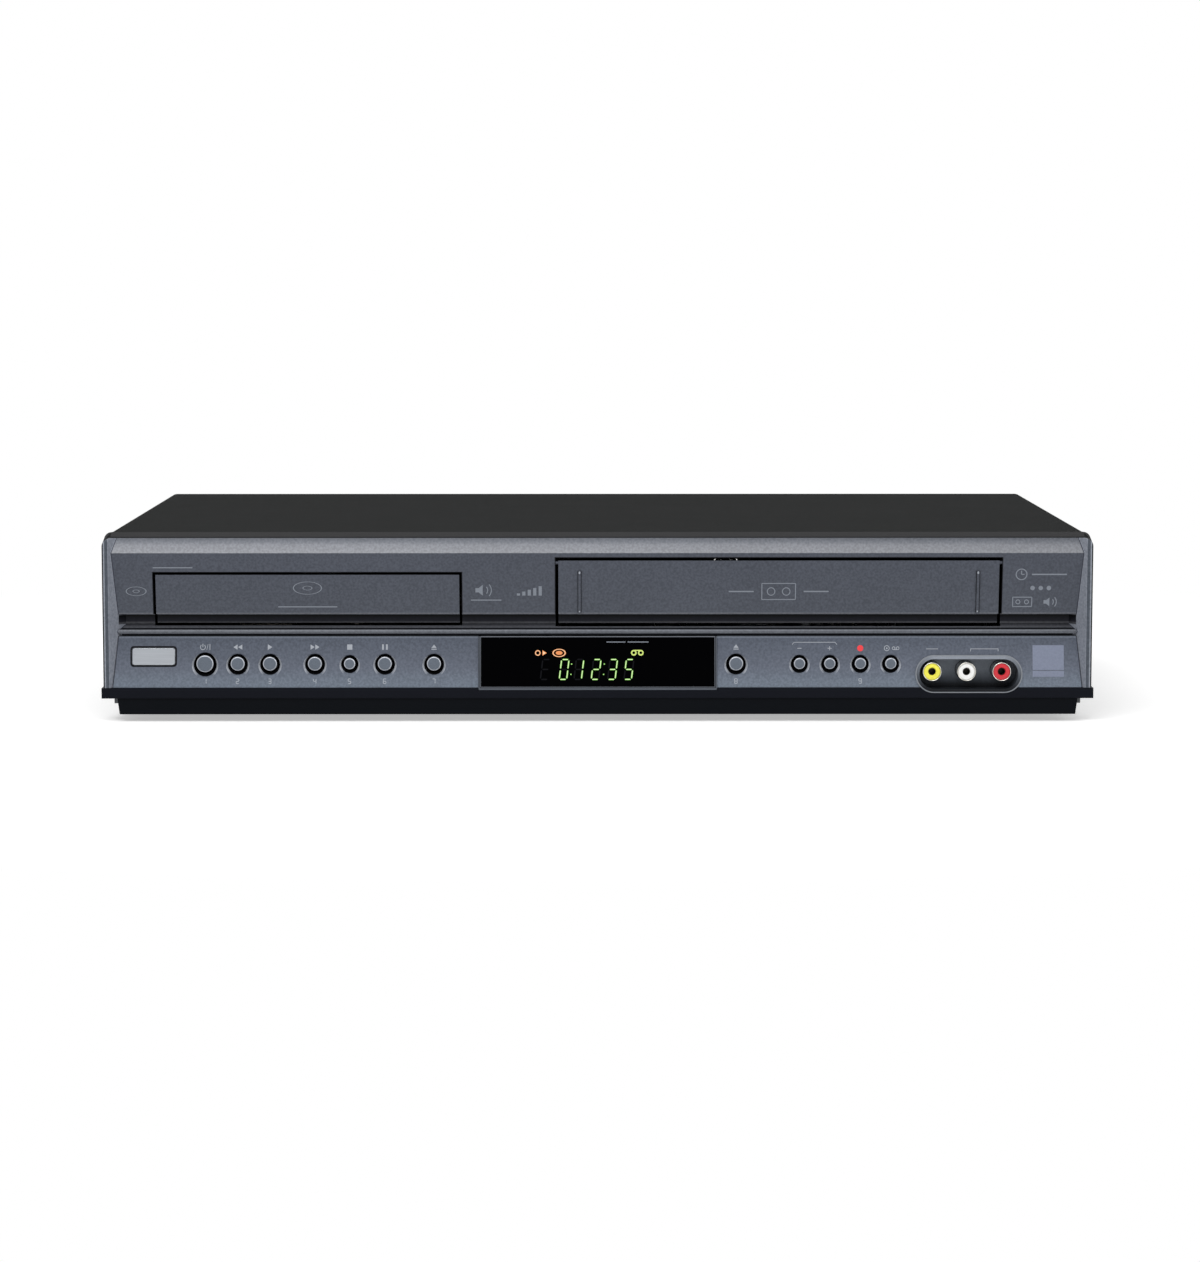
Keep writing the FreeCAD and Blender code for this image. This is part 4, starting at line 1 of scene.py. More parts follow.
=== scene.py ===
"""Looks of the disc and videocassette player: materials, prints, light and camera."""
import json
import math

import bmesh
import bpy
from mathutils import Matrix, Vector


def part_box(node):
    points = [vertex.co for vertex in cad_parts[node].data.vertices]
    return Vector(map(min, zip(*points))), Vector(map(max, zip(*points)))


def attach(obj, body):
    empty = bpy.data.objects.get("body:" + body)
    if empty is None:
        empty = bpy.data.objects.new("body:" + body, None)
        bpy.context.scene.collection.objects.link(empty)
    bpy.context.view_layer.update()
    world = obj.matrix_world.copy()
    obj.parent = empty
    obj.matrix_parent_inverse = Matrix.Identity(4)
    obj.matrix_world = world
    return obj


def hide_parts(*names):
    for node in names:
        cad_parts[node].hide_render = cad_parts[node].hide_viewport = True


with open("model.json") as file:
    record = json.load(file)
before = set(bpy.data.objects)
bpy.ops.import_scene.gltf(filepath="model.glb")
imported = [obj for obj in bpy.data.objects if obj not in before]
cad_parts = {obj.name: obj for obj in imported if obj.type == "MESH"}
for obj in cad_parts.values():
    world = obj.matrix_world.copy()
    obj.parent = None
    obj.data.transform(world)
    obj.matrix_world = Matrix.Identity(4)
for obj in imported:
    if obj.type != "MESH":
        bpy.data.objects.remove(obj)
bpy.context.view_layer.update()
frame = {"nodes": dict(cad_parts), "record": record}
nodes = frame["nodes"]
MM = 0.001

# Sizes of the solids that the looks follow, in millimetres. The front rim's plane comes first,
# then the setback of each face behind it and how that changes with height
FRONT = -129.5
FACE_FOOT, FACE_SLOPE, BAND_TOP = 4.6, 0.125, 47.4
CONTROL_FOOT, CONTROL_SLOPE, CONTROL_BOTTOM = 1.2, 3.4 / 22.7, 15.1
# Half the width inside the rim, and how much further in the cheeks go per millimetre back
RIM_HALF, CHEEK_LEAN = 214.8, 0.72
PANEL_HALF, COVER_TOP = 217.6, 83.2
# The room round the drawer's door and the flap, and the flap's pins and ribs
DOOR_GAP, FLAP_GAP = 1.1, 1.3
FLAP_PINS, RIB_INSET, RIB_RAISE = 3.2, 9.3, 0.5
# The socket recess: its centre, half its straight stretch and the radius of its ends
RECESS_X, RECESS_Z, RECESS_STRAIGHT, RECESS_RADIUS = 163.65, 20.95, 15.35, 8.25
WINDOW_HALF, WINDOW_FOOT, WINDOW_RAISE = 51.35, 15.6, 0.4


def face_y(z):
    """Where the upper face lies at a height."""
    return FRONT + FACE_FOOT - (z - BAND_TOP) * FACE_SLOPE


def control_y(z):
    """Where the lower face lies at a height."""
    return FRONT + CONTROL_FOOT + (z - CONTROL_BOTTOM) * CONTROL_SLOPE


# ---- materials

def srgb(red, green, blue):
    """A colour given as 0 to 255 screen values."""
    return tuple(((c / 255 + 0.055) / 1.055) ** 2.4 if c > 10 else c / 255 / 12.92
                 for c in (red, green, blue)) + (1.0,)


class Nodes:
    """A small helper round one node tree that builds a material."""

    def __init__(self, name):
        self.material = bpy.data.materials.new(name)
        self.material.use_nodes = True
        self.tree = self.material.node_tree
        self.shader = self.tree.nodes["Principled BSDF"]
        source = self.add("ShaderNodeTexCoord")
        self.place = source.outputs["Object"]
        self.normal = source.outputs["Normal"]

    def add(self, kind, **values):
        node = self.tree.nodes.new(kind)
        for key, value in values.items():
            if key in node.inputs:
                node.inputs[key].default_value = value
            else:
                setattr(node, key, value)
        return node

    def link(self, output, target):
        self.tree.links.new(output, target)

    def feed(self, socket, value):
        """Give a socket a plain value, or another node's output."""
        if isinstance(value, bpy.types.NodeSocket):
            self.link(value, socket)
        else:
            socket.default_value = value

    def math(self, operation, first, second=0.0):
        node = self.add("ShaderNodeMath", operation=operation)
        self.feed(node.inputs[0], first)
        self.feed(node.inputs[1], second)
        return node.outputs[0]

    def part(self, vector, index):
        """One coordinate of a vector."""
        split = self.add("ShaderNodeSeparateXYZ")
        self.link(vector, split.inputs[0])
        return split.outputs[index]

    def range(self, value, low, high, start=0.0, end=1.0):
        """Turn start to end into low to high."""
        turn = self.add("ShaderNodeMapRange")
        for name, number in (("From Min", start), ("From Max", end), ("To Min", low),
                             ("To Max", high)):
            turn.inputs[name].default_value = number
        self.link(value, turn.inputs["Value"])
        return turn.outputs["Result"]

    def step(self, length, place, width=0.1, falling=False):
        """0 to 1, or 1 to 0, where a length passes a place given in millimetres."""
        low, high = (1.0, 0.0) if falling else (0.0, 1.0)
        return self.range(length, low, high, (place - width / 2) * MM, (place + width / 2) * MM)

    def mix(self, factor, low, high, kind="MIX"):
        node = self.add("ShaderNodeMix", data_type="RGBA", blend_type=kind)
        self.feed(node.inputs["Factor"], factor)
        self.feed(node.inputs[6], low)
        self.feed(node.inputs[7], high)
        return node.outputs[2]

    def noise(self, scale, detail=2.0, stretch=(1, 1, 1)):
        mapping = self.add("ShaderNodeMapping")
        mapping.inputs["Scale"].default_value = stretch
        self.link(self.place, mapping.inputs["Vector"])
        noise = self.add("ShaderNodeTexNoise", Scale=scale, Detail=detail)
        self.link(mapping.outputs["Vector"], noise.inputs["Vector"])
        return noise.outputs["Fac"]

    def ramp(self, value, stops):
        """Colours along a value, as (position, colour) pairs in rising order."""
        ramp = self.add("ShaderNodeValToRGB")
        points = ramp.color_ramp.elements
        for index, (position, color) in enumerate(stops):
            point = points[index] if index < 2 else points.new(position)
            point.position = position
            point.color = color
        self.link(value, ramp.inputs["Fac"])
        return ramp.outputs["Color"]

    def bump(self, value, distance, edge=0.0):
        bump = self.add("ShaderNodeBump", Strength=1.0, Distance=distance)
        self.link(value, bump.inputs["Height"])
        if edge:
            bevel = self.add("ShaderNodeBevel", Radius=edge)
            bevel.samples = 4
            self.link(bevel.outputs["Normal"], bump.inputs["Normal"])
        self.link(bump.outputs["Normal"], self.shader.inputs["Normal"])

    def surface(self, color, grain, vary, depth, edge, roughness, stretch=(1, 1, 1),
                metallic=0.0, specular=0.5, coat=0.0):
        """Grain and patches over a colour, with matching roughness and bump."""
        fine = self.noise(grain, 3.0, stretch)
        broad = self.noise(grain / 60.0, 2.0, stretch)
        speck = self.ramp(fine, ((0.35, grey(1 - vary)), (0.65, grey(1.0))))
        patch = self.ramp(broad, ((0.35, grey(1 - vary / 3)), (0.65, grey(1.0))))
        tone = self.mix(1.0, self.mix(1.0, speck, patch, "MULTIPLY"), color, "MULTIPLY")
        shader = self.shader.inputs
        self.link(tone, shader["Base Color"])
        self.link(self.range(broad, roughness - 0.05, roughness + 0.05), shader["Roughness"])
        shader["Metallic"].default_value = metallic
        shader["Specular IOR Level"].default_value = specular
        shader["Coat Weight"].default_value = coat
        shader["Coat Roughness"].default_value = 0.12
        self.bump(fine, depth, edge)
        return self.material


def grey(level):
    """A neutral colour of one linear level."""
    return (level, level, level, 1.0)


def finish(name, color, roughness, grain, depth, vary, edge=0.00025, **rest):
    """Paint, plastic or metal of one colour: fine grain and softened edges."""
    mat = Nodes(name)
    color = tuple(c * (1 + vary / 2) for c in color[:3]) + (1.0,)
    return mat.surface(color, grain, vary, depth, edge, roughness, **rest)


# The front's tones by height in millimetres, set and corrected: each moulding's paint from its foot
# to its top, with painted light and painted shade for the soft light that falls on it
PAINT_AND_LIGHT_TONES = (
    # Control face, with painted light palest above its foot, and a painted highlight on its top
    # edge
    (14.0, srgb(95, 101, 112)), (15.4, srgb(121, 131, 144)), (24.0, srgb(106, 112, 125)),
    (36.6, srgb(91, 97, 109)), (36.7, srgb(112, 119, 131)), (37.2, srgb(112, 119, 131)),
    # Groove under the rail, painted dark as shade
    (37.55, srgb(76, 80, 89)), (37.7, srgb(28, 31, 38)), (38.7, srgb(28, 31, 38)),
    # Rail bead with a painted highlight, and painted shade in the line behind it
    (38.8, srgb(122, 126, 134)), (39.6, srgb(96, 100, 107)), (40.0, srgb(110, 113, 120)),
    (40.45, srgb(112, 115, 122)), (40.5, srgb(20, 22, 27)), (40.95, srgb(20, 22, 27)),
    # Shelf, with painted light at its nose and painted shade darkening towards its back
    (41.0, srgb(104, 106, 113)), (42.5, srgb(64, 65, 71)),
    # Band, darkened with painted shade, with painted light on its foot and a painted shadow under
    # the lip
    (42.6, srgb(80, 81, 86)), (43.6, srgb(74, 75, 80)), (43.7, srgb(38, 39, 47)),
    (45.6, srgb(20, 22, 28)), (46.5, srgb(0, 0, 0)), (46.72, srgb(0, 0, 0)),
    # Lip, a painted highlight along its edge
    (46.78, srgb(104, 107, 115)), (47.85, srgb(106, 109, 117)),
    # Upper face
    (47.95, srgb(85, 89, 98)), (74.4, srgb(84, 88, 98)),
    # Brow, made paler with painted light where it faces up, less so towards its top
    (74.6, srgb(137, 139, 144)), (78.0, srgb(128, 130, 136)), (79.3, srgb(110, 113, 120)),
    (80.6, srgb(94, 97, 104)),
)
TONES_LOW, TONES_HIGH = 10.0, 90.0
# Where the paint changes: heights, distances behind the rim, and distances from the middle
CONTROL_TOP, BAND_FOOT, BAND_SHADOW, CROWN = 37.6, 42.65, 47.275, 78.5
BAND_BACK, SIDE_BACK = 5.15, 0.8
# The rim's tones by distance from the middle: its flat tone, a painted highlight along its rounded
# edge, and painted shade at its outer edge
RIM_TONES_AND_LIGHT = ((214.95, srgb(84, 90, 99)), (216.35, srgb(150, 155, 165)),
             (216.95, srgb(10, 11, 13)))
OUTER_HALF, SIDE_HALF = 216.0, 217.2


def by_height(mat, stops):
    """A colour that changes with height, from (height in millimetres, colour) pairs."""
    height = mat.range(mat.part(mat.place, 2), 0.0, 1.0, TONES_LOW * MM, TONES_HIGH * MM)
    span = TONES_HIGH - TONES_LOW
    return mat.ramp(height, [((z - TONES_LOW) / span, color) for z, color in stops])


def behind_lower_face(mat):
    """How far a point lies behind the lower face, in metres."""
    lean = mat.math("MULTIPLY", mat.part(mat.place, 2), -CONTROL_SLOPE)
    start = (FRONT + CONTROL_FOOT - CONTROL_BOTTOM * CONTROL_SLOPE) * MM
    return mat.math("SUBTRACT", mat.math("ADD", mat.part(mat.place, 1), lean), start)


def hole_mouths(mat, tone, bare):
    """The bevelled mouths of the button holes: a painted highlight at the sides, and painted shade
    in black further in.
    """
    lower = mat.step(mat.part(mat.place, 2), CONTROL_TOP, 0.2, falling=True)
    aside = mat.math("ABSOLUTE", mat.part(mat.normal, 0))
    # A painted highlight on the sides of each mouth
    mouth_highlight = mat.math("MULTIPLY", lower, mat.range(aside, 0.0, 1.0, 0.35, 0.6))
    tone = mat.mix(mouth_highlight, tone, srgb(190, 195, 204))
    # The painted shade starts nearer the face at the top of a hole than at its foot
    start = mat.range(mat.part(mat.normal, 2), 0.55 * MM, 0.8 * MM, -0.5, 0.5)
    inward = mat.math("GREATER_THAN", behind_lower_face(mat), start)
    return mat.mix(mat.math("MULTIPLY", lower, inward), tone, bare)


def cheeks_and_rim(mat, tone):
    """The cheeks that lean in from the rim, made paler with painted light, with painted shade in a
    line along the crease at the face, and the rim's tones with a painted highlight and painted
    shade along its edge.
    """
    across = mat.math("ABSOLUTE", mat.part(mat.place, 0))
    back, height = mat.part(mat.place, 1), mat.part(mat.place, 2)
    lean = mat.math("ADD", across, mat.math("MULTIPLY", back, CHEEK_LEAN))
    edge = RIM_HALF + FRONT * CHEEK_LEAN
    # The band runs on behind the cheeks, so their tones aren't painted over it
    deep = mat.step(back, FRONT + BAND_BACK)
    beside = mat.math("MULTIPLY", mat.step(height, BAND_FOOT),
                      mat.step(height, BAND_SHADOW, 0.15, falling=True))
    front = mat.math("SUBTRACT", 1.0, mat.math("MULTIPLY", deep, beside))
    # Painted shade in a line along the crease, then the cheeks made paler with painted light
    for inset, shade in ((0.55, srgb(60, 63, 73)), (0.15, srgb(148, 153, 164))):
        tone = mat.mix(mat.math("MULTIPLY", front, mat.step(lean, edge - inset)), tone, shade)
    # The rim's tone, with its painted highlight and painted shade
    for start, shade in RIM_TONES_AND_LIGHT:
        tone = mat.mix(mat.step(across, start), tone, shade)
    side = mat.math("MULTIPLY", mat.step(back, FRONT + SIDE_BACK, 0.2),
                    mat.step(across, SIDE_HALF, 0.2))
    return mat.mix(side, tone, srgb(93, 99, 108))


def panel_paint_and_light():
    """Silver-grey paint on the outer faces of the front mouldings, with painted light and shade in
    its tones, bare plastic behind them.
    """
    mat = Nodes("panel_paint_and_light")
    bare = srgb(12, 13, 16)
    tone = cheeks_and_rim(mat, hole_mouths(mat, by_height(mat, PAINT_AND_LIGHT_TONES), bare))
    facing = mat.range(mat.part(mat.normal, 1), 1.0, 0.0, -0.25, -0.15)
    sides = mat.step(mat.math("ABSOLUTE", mat.part(mat.place, 0)), OUTER_HALF, 0.2)
    crown = mat.step(mat.part(mat.place, 2), CROWN, 0.2)
    outer = mat.math("MAXIMUM", facing, mat.math("MAXIMUM", sides, crown))
    color = mat.mix(outer, bare, tone)
    return mat.surface(color, 1000.0, 0.24, 0.000012, 0.00015, 0.42, metallic=0.25, specular=0.12)


def cap_paint_and_highlight():
    """A button's dome: a painted highlight round its rim, and a duller, slightly uneven middle."""
    mat = Nodes("cap_paint_and_highlight")
    # The rim, where the dome turns away from the front, is painted bright as a highlight
    color = mat.mix(mat.range(mat.part(mat.normal, 1), 1.0, 0.0, -0.96, -0.9),
                    srgb(196, 200, 208), srgb(104, 112, 123))
    return mat.surface(color, 1800.0, 0.14, 0.000004, 0.0, 0.34, metallic=0.3, specular=0.2)


def bezel_plastic_and_light():
    """The display's frame: two pale lines of painted highlight and a dark one of painted shade on
    its front, black inside.
    """
    mat = Nodes("bezel_plastic_and_light")
    aside = mat.math("SUBTRACT", mat.math("ABSOLUTE", mat.part(mat.place, 0)), WINDOW_HALF * MM)
    below = mat.math("SUBTRACT", WINDOW_FOOT * MM, mat.part(mat.place, 2))
    # From half a millimetre inside the window's edge to one and a half outside it
    reach = mat.range(mat.math("MAXIMUM", aside, below), 0.0, 1.0, -0.5 * MM, 1.5 * MM)
    # Painted highlights on the frame's edges, with painted shade between them
    lines = mat.ramp(reach, ((0.0, srgb(112, 116, 124)), (0.40, srgb(112, 116, 124)),
                             (0.44, srgb(38, 41, 47)), (0.60, srgb(38, 41, 47)),
                             (0.64, srgb(98, 103, 111)), (1.0, srgb(88, 93, 101))))
    inside = mat.step(behind_lower_face(mat), 0.125, 0.05)
    color = mat.mix(inside, lines, srgb(2, 2, 3))
    return mat.surface(color, 2200.0, 0.08, 0.000004, 0.0001, 0.34, specular=0.1)


def recess_plastic_and_light():
    """The socket recess: painted shade darkening it towards its foot and its round ends, with a
    painted highlight in a thin line round its lip.
    """
    mat = Nodes("recess_plastic_and_light")
    across = mat.math("ABSOLUTE", mat.math("SUBTRACT", mat.part(mat.place, 0), RECESS_X * MM))
    across = mat.math("MAXIMUM", mat.math("SUBTRACT", across, RECESS_STRAIGHT * MM), 0.0)
    rise = mat.math("SUBTRACT", mat.part(mat.place, 2), RECESS_Z * MM)
    reach = mat.math("SQRT", mat.math("ADD", mat.math("MULTIPLY", across, across),
                                      mat.math("MULTIPLY", rise, rise)))
    # A painted highlight in a thin line round the lip
    line = mat.step(reach, RECESS_RADIUS - 0.5)
    # Painted light and shade inside: dark at the foot, pale near the top
    inside = by_height(mat, ((13.0, srgb(14, 15, 18)), (15.5, srgb(30, 33, 38)),
                             (18.5, srgb(88, 94, 103)), (22.0, srgb(134, 141, 151)),
                             (29.0, srgb(146, 152, 162))))
    # Painted shade towards the round ends
    ends = mat.range(across, 1.0, 0.45, 0.0, RECESS_RADIUS * MM)
    inside = mat.mix(ends, srgb(10, 11, 13), inside)
    color = mat.mix(line, inside, srgb(138, 142, 148))
    return mat.surface(color, 1800.0, 0.1, 0.000006, 0.00015, 0.42, specular=0.12)


def skirt_plastic():
    """Near-black plastic, a little lighter on the skirt than on the plinth below it."""
    mat = Nodes("skirt_plastic")
    color = by_height(mat, ((10.2, srgb(7, 10, 15)), (10.6, srgb(17, 19, 26))))
    return mat.surface(color, 1400.0, 0.1, 0.000004, 0.0002, 0.45, specular=0.06)


def glowing(name, color):
    """A lit mark of the display, a little uneven."""
    mat = Nodes(name)
    patch = mat.ramp(mat.noise(900.0), ((0.35, grey(0.86)), (0.65, grey(1.0))))
    mat.shader.inputs["Base Color"].default_value = grey(0.0)
    mat.link(mat.mix(1.0, patch, color, "MULTIPLY"), mat.shader.inputs["Emission Color"])
    mat.shader.inputs["Emission Strength"].default_value = 1.0
    mat.shader.inputs["Roughness"].default_value = 0.4
    return mat.material


materials = {
    "panel": panel_paint_and_light(),
    "button": finish("button_body", srgb(5, 5, 7), 0.5, 1500.0, 0.00001, 0.2, specular=0.03),
    "cap": cap_paint_and_highlight(),
    "bezel": bezel_plastic_and_light(),
    "recess": recess_plastic_and_light(),
    "skirt": skirt_plastic(),
    "cover": finish("cover_paint", srgb(33, 34, 34), 0.85, 3200.0, 0.00003, 0.2, 0.0004,
                    specular=0.02),
    # The cover's front bevel: the cover's paint made paler as painted light for its forward face
    "cover_edge": finish("cover_edge_paint_lit", srgb(60, 60, 61), 0.85, 3200.0, 0.00002, 0.16,
                         specular=0.02),
    "window": finish("window_acrylic", srgb(0, 0, 1), 0.12, 400.0, 0.000001, 0.05, 0.0001,
                     specular=0.015),
    "rubber": finish("rubber", srgb(28, 28, 29), 0.85, 1200.0, 0.00004, 0.3, specular=0.2),
    "chassis": finish("chassis_sheet", srgb(84, 86, 88), 0.45, 500.0, 0.00001, 0.2,
                      metallic=0.8),
    "zinc": finish("zinc_sheet", srgb(176, 178, 180), 0.38, 500.0, 0.00001, 0.2, metallic=0.9),
    "carriage": finish("carriage_sheet", srgb(56, 58, 60), 0.5, 500.0, 0.00001, 0.2,
                       metallic=0.6, specular=0.2),
    "nickel": finish("nickel", srgb(205, 203, 196), 0.22, 800.0, 0.000004, 0.08, 0.00012,
                     metallic=1.0),
    "steel": finish("ground_steel", srgb(190, 192, 195), 0.28, 900.0, 0.000008, 0.12,
                    stretch=(1, 0.1, 1), metallic=1.0),
    "drum": finish("drum_aluminium", srgb(205, 207, 210), 0.22, 1400.0, 0.000008, 0.1,
                   stretch=(0.2, 0.2, 6), metallic=1.0),
    "black_screw": finish("black_screw", srgb(40, 40, 42), 0.36, 900.0, 0.000008, 0.16,
                          metallic=0.8),
    "rear": finish("rear_paint", srgb(58, 59, 61), 0.52, 2400.0, 0.00002, 0.2, specular=0.25),
    "black": finish("black_plastic", srgb(24, 24, 26), 0.5, 1500.0, 0.00002, 0.2, specular=0.25),
    "tray": finish("tray_plastic", srgb(34, 35, 38), 0.42, 1800.0, 0.00001, 0.16, specular=0.3),
    "acetal": finish("acetal", srgb(214, 210, 198), 0.38, 900.0, 0.000008, 0.06),
    "board": finish("circuit_board", srgb(44, 82, 52), 0.42, 260.0, 0.00004, 0.4, coat=0.2),
    "supply": finish("supply_board", srgb(150, 118, 66), 0.55, 260.0, 0.00004, 0.3),
    "contact": finish("dark_contact", srgb(46, 44, 40), 0.4, 900.0, 0.000004, 0.1, metallic=0.9),
    "brass": finish("contact_brass", srgb(214, 176, 96), 0.3, 900.0, 0.000004, 0.1,
                    metallic=1.0),
    "print": finish("pale_print", srgb(160, 165, 173), 0.5, 2600.0, 0.000002, 0.08, 0),
    "faint": finish("faint_print", srgb(122, 128, 138), 0.5, 2600.0, 0.000002, 0.08, 0),
    "badge": finish("badge_metal", srgb(168, 172, 178), 0.3, 1400.0, 0.000006, 0.08,
                    stretch=(0.05, 1, 1), metallic=0.6),
    "outline": finish("badge_outline", srgb(22, 23, 27), 0.5, 1400.0, 0.000002, 0.1, 0,
                      specular=0.1),
    "label": finish("label_film", srgb(126, 133, 152), 0.36, 1200.0, 0.000004, 0.1, 0,
                    specular=0.3),
    "record_dot": finish("record_dot", srgb(236, 60, 66), 0.4, 1500.0, 0.000002, 0.08, 0),
    "ghost": finish("unlit_segments", srgb(15, 15, 19), 0.3, 900.0, 0.000001, 0.1, 0,
                    specular=0.05),
    "digits": glowing("lit_digits", srgb(124, 212, 66)),
    "digits_core": glowing("lit_digits_core", srgb(240, 254, 200)),
    "amber": glowing("lit_amber", srgb(246, 150, 82)),
    "amber_core": glowing("lit_amber_core", srgb(254, 222, 176)),
    "lime": glowing("lit_lime", srgb(214, 236, 120)),
}
for name, color, vary in (
        ("yellow", srgb(248, 240, 84), 0.08), ("white", srgb(248, 248, 246), 0.04),
        ("red", srgb(208, 40, 52), 0.08), ("green", srgb(46, 136, 66), 0.08),
        ("blue", srgb(44, 76, 168), 0.08)):
    materials[name] = finish(name + "_insulator", color, 0.36, 900.0, 0.000006, vary)
# The coats of the solids; every node that isn't named here is a button
COATS = {
    "cover": ("top_cover",), "black_screw": ("cover_screws",), "rear": ("rear_panel",),
    "panel": ("front_panel", "control_panel", "tray_door", "cassette_flap"),
    "skirt": ("front_skirt",), "bezel": ("display_bezel",), "window": ("display_window",),
    "recess": ("jack_bezel",), "chassis": ("bottom_chassis",), "supply": ("power_board",),
    "board": ("main_board", "front_board"), "tray": ("disc_tray",),
    "rubber": ("feet", "loading_belt", "pinch_roller"),
    "nickel": ("front_sockets", "rear_sockets", "tape_guides"),
    "black": ("socket_blocks", "ac_inlet", "loader_frame", "traverse_frame", "turntable",
              "optical_pickup", "clamper"),
    "acetal": ("tray_gear", "loading_pulley", "motor_pulley", "supply_reel", "takeup_reel"),
    "zinc": ("loading_motor", "feed_motor", "clamp_bridge", "deck_plate", "pinch_arm"),
    "steel": ("guide_rods", "lead_screw", "capstan"),
    "carriage": ("carriage_brackets", "carriage_slider", "cassette_carriage"),
    "drum": ("lower_drum", "upper_drum"),
}
coat_of = {name: coat for coat, group in COATS.items() for name in group}
for name, node in nodes.items():
    node.data.materials.clear()
    node.data.materials.append(materials[coat_of.get(name, "button")])


# ---- pieces

SHARP_ANGLE = 40.0


def piece(name, bm, coat, body="base"):
    """Make an object from a bmesh in millimetres, with its material and body."""
    bmesh.ops.recalc_face_normals(bm, faces=bm.faces)
    mesh = bpy.data.meshes.new(name)
    bm.to_mesh(mesh)
    bm.free()
    mesh.transform(Matrix.Scale(MM, 4))
    mesh.materials.append(materials[coat])
    mesh.shade_smooth()
    mesh.set_sharp_from_angle(angle=math.radians(SHARP_ANGLE))
    obj = bpy.data.objects.new(name, mesh)
    bpy.context.scene.collection.objects.link(obj)
    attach(obj, body)
    return obj


def middle_x(node):
    """The middle of a node across the player, in millimetres."""
    return sum(corner.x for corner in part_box(node)) / 2 / MM


def flat(bm, outline, surface, proud=0.04):
    """A thin print: an (x, z) outline laid on a surface given as y of z."""
    bm.faces.new([bm.verts.new((x, surface(z) - proud, z)) for x, z in outline])


def skin(bm, rings):
    """Faces from each closed ring of vertices to the next."""
    count = len(rings[0])
    for low, high in zip(rings, rings[1:]):
        for i in range(count):
            bm.faces.new((low[i], low[(i + 1) % count], high[(i + 1) % count], high[i]))


def slab(bm, outline, surface, proud, rim):
    """A raised plate with a bevelled rim, sunk a little into a surface given as y of z."""
    centre_x = sum(x for x, z in outline) / len(outline)
    centre_z = sum(z for x, z in outline) / len(outline)
    rings = []
    for inset, height in ((0, -0.1), (0, proud - rim), (rim, proud)):
        ring = []
        for x, z in outline:
            dx, dz = x - centre_x, z - centre_z
            span = math.hypot(dx, dz) or 1
            ring.append((x - dx / span * inset, z - dz / span * inset, height))
        rings.append([bm.verts.new((x, surface(z) - h, z)) for x, z, h in ring])
    skin(bm, rings)
    bm.faces.new(rings[-1])
    bm.faces.new(list(reversed(rings[0])))


def lathe(bm, profile, centre, axis, steps=48):
    """Turn (radius, height) points round an axis through a centre."""
    turn = Vector((0, 0, 1)).rotation_difference(Vector(axis)).to_matrix()
    rings = []
    for radius, height in profile:
        around = disc(0, 0, radius, steps=steps) if radius else [(0, 0)]
        rings.append([bm.verts.new(Vector(centre) + turn @ Vector((u, v, height)))
                      for u, v in around])
    for low, high in zip(rings, rings[1:]):
        for i in range(steps):
            j = (i + 1) % steps
            if len(low) == 1 and len(high) == 1:
                continue
            if len(low) == 1:
                bm.faces.new((low[0], high[j], high[i]))
            elif len(high) == 1:
                bm.faces.new((low[i], low[j], high[0]))
            else:
                bm.faces.new((low[i], low[j], high[j], high[i]))


def rectangle(x0, x1, z0, z1, corner=0.0, steps=5):
    """An (x, z) rectangle with round corners."""
    if not corner:
        return [(x0, z0), (x1, z0), (x1, z1), (x0, z1)]
    points = []
    for cx, cz, start in ((x1 - corner, z0 + corner, -90), (x1 - corner, z1 - corner, 0),
                          (x0 + corner, z1 - corner, 90), (x0 + corner, z0 + corner, 180)):
        for i in range(steps + 1):
            angle = math.radians(start + 90 * i / steps)
            points.append((cx + corner * math.cos(angle), cz + corner * math.sin(angle)))
    return points


def disc(x, z, rx, rz=None, steps=32):
    """An (x, z) circle or ellipse."""
    rz = rz or rx
    angles = [2 * math.pi * i / steps for i in range(steps)]
    return [(x + rx * math.cos(angle), z + rz * math.sin(angle)) for angle in angles]


def ring(bm, x, z, outer, inner, surface, start=0, end=360, squash=1.0, proud=0.04, steps=36):
    """A flat ring or arc on a surface, between two angles in degrees."""
    points = []
    for i in range(steps + 1):
        angle = math.radians(start + (end - start) * i / steps)
        points.append((math.cos(angle), math.sin(angle) * squash))
    low = [bm.verts.new((x + c * inner, surface(z + s * inner) - proud, z + s * inner))
           for c, s in points]
    high = [bm.verts.new((x + c * outer, surface(z + s * outer) - proud, z + s * outer))
            for c, s in points]
    for i in range(steps):
        bm.faces.new((low[i], low[i + 1], high[i + 1], high[i]))


# ---- prints on the lower face

# Heights of the buttons, the marks above them and the numbers below them
BUTTON_Z, ICON_Z, NUMBER_Z = 25.6, 32.8, 17.9
# How far a dome's rim lies inside the button's widest edge, and how much its middle rises
CAP_INSET, DOME_RISE = 1.68, 0.16
# Outer and inner radius of a round mark, half a square mark, and the lines' widths
ROUND_MARK, SQUARE_MARK, MARK_LINE, THIN_LINE = (1.25, 0.95), 1.15, 0.3, 0.26
BODY_OF = {name: body for body, group in frame["record"]["behaviour"]["bodies"].items()
           for name in group}
BUTTON_X = {name: middle_x(name) for name in nodes if name.endswith("_button")}


def triangle(bm, x, z, half, way, surface, proud=0.04):
    """A play mark pointing along X."""
    flat(bm, [(x - way * half * 0.8, z - half), (x + way * half * 0.8, z),
              (x - way * half * 0.8, z + half)][::way], surface, proud)


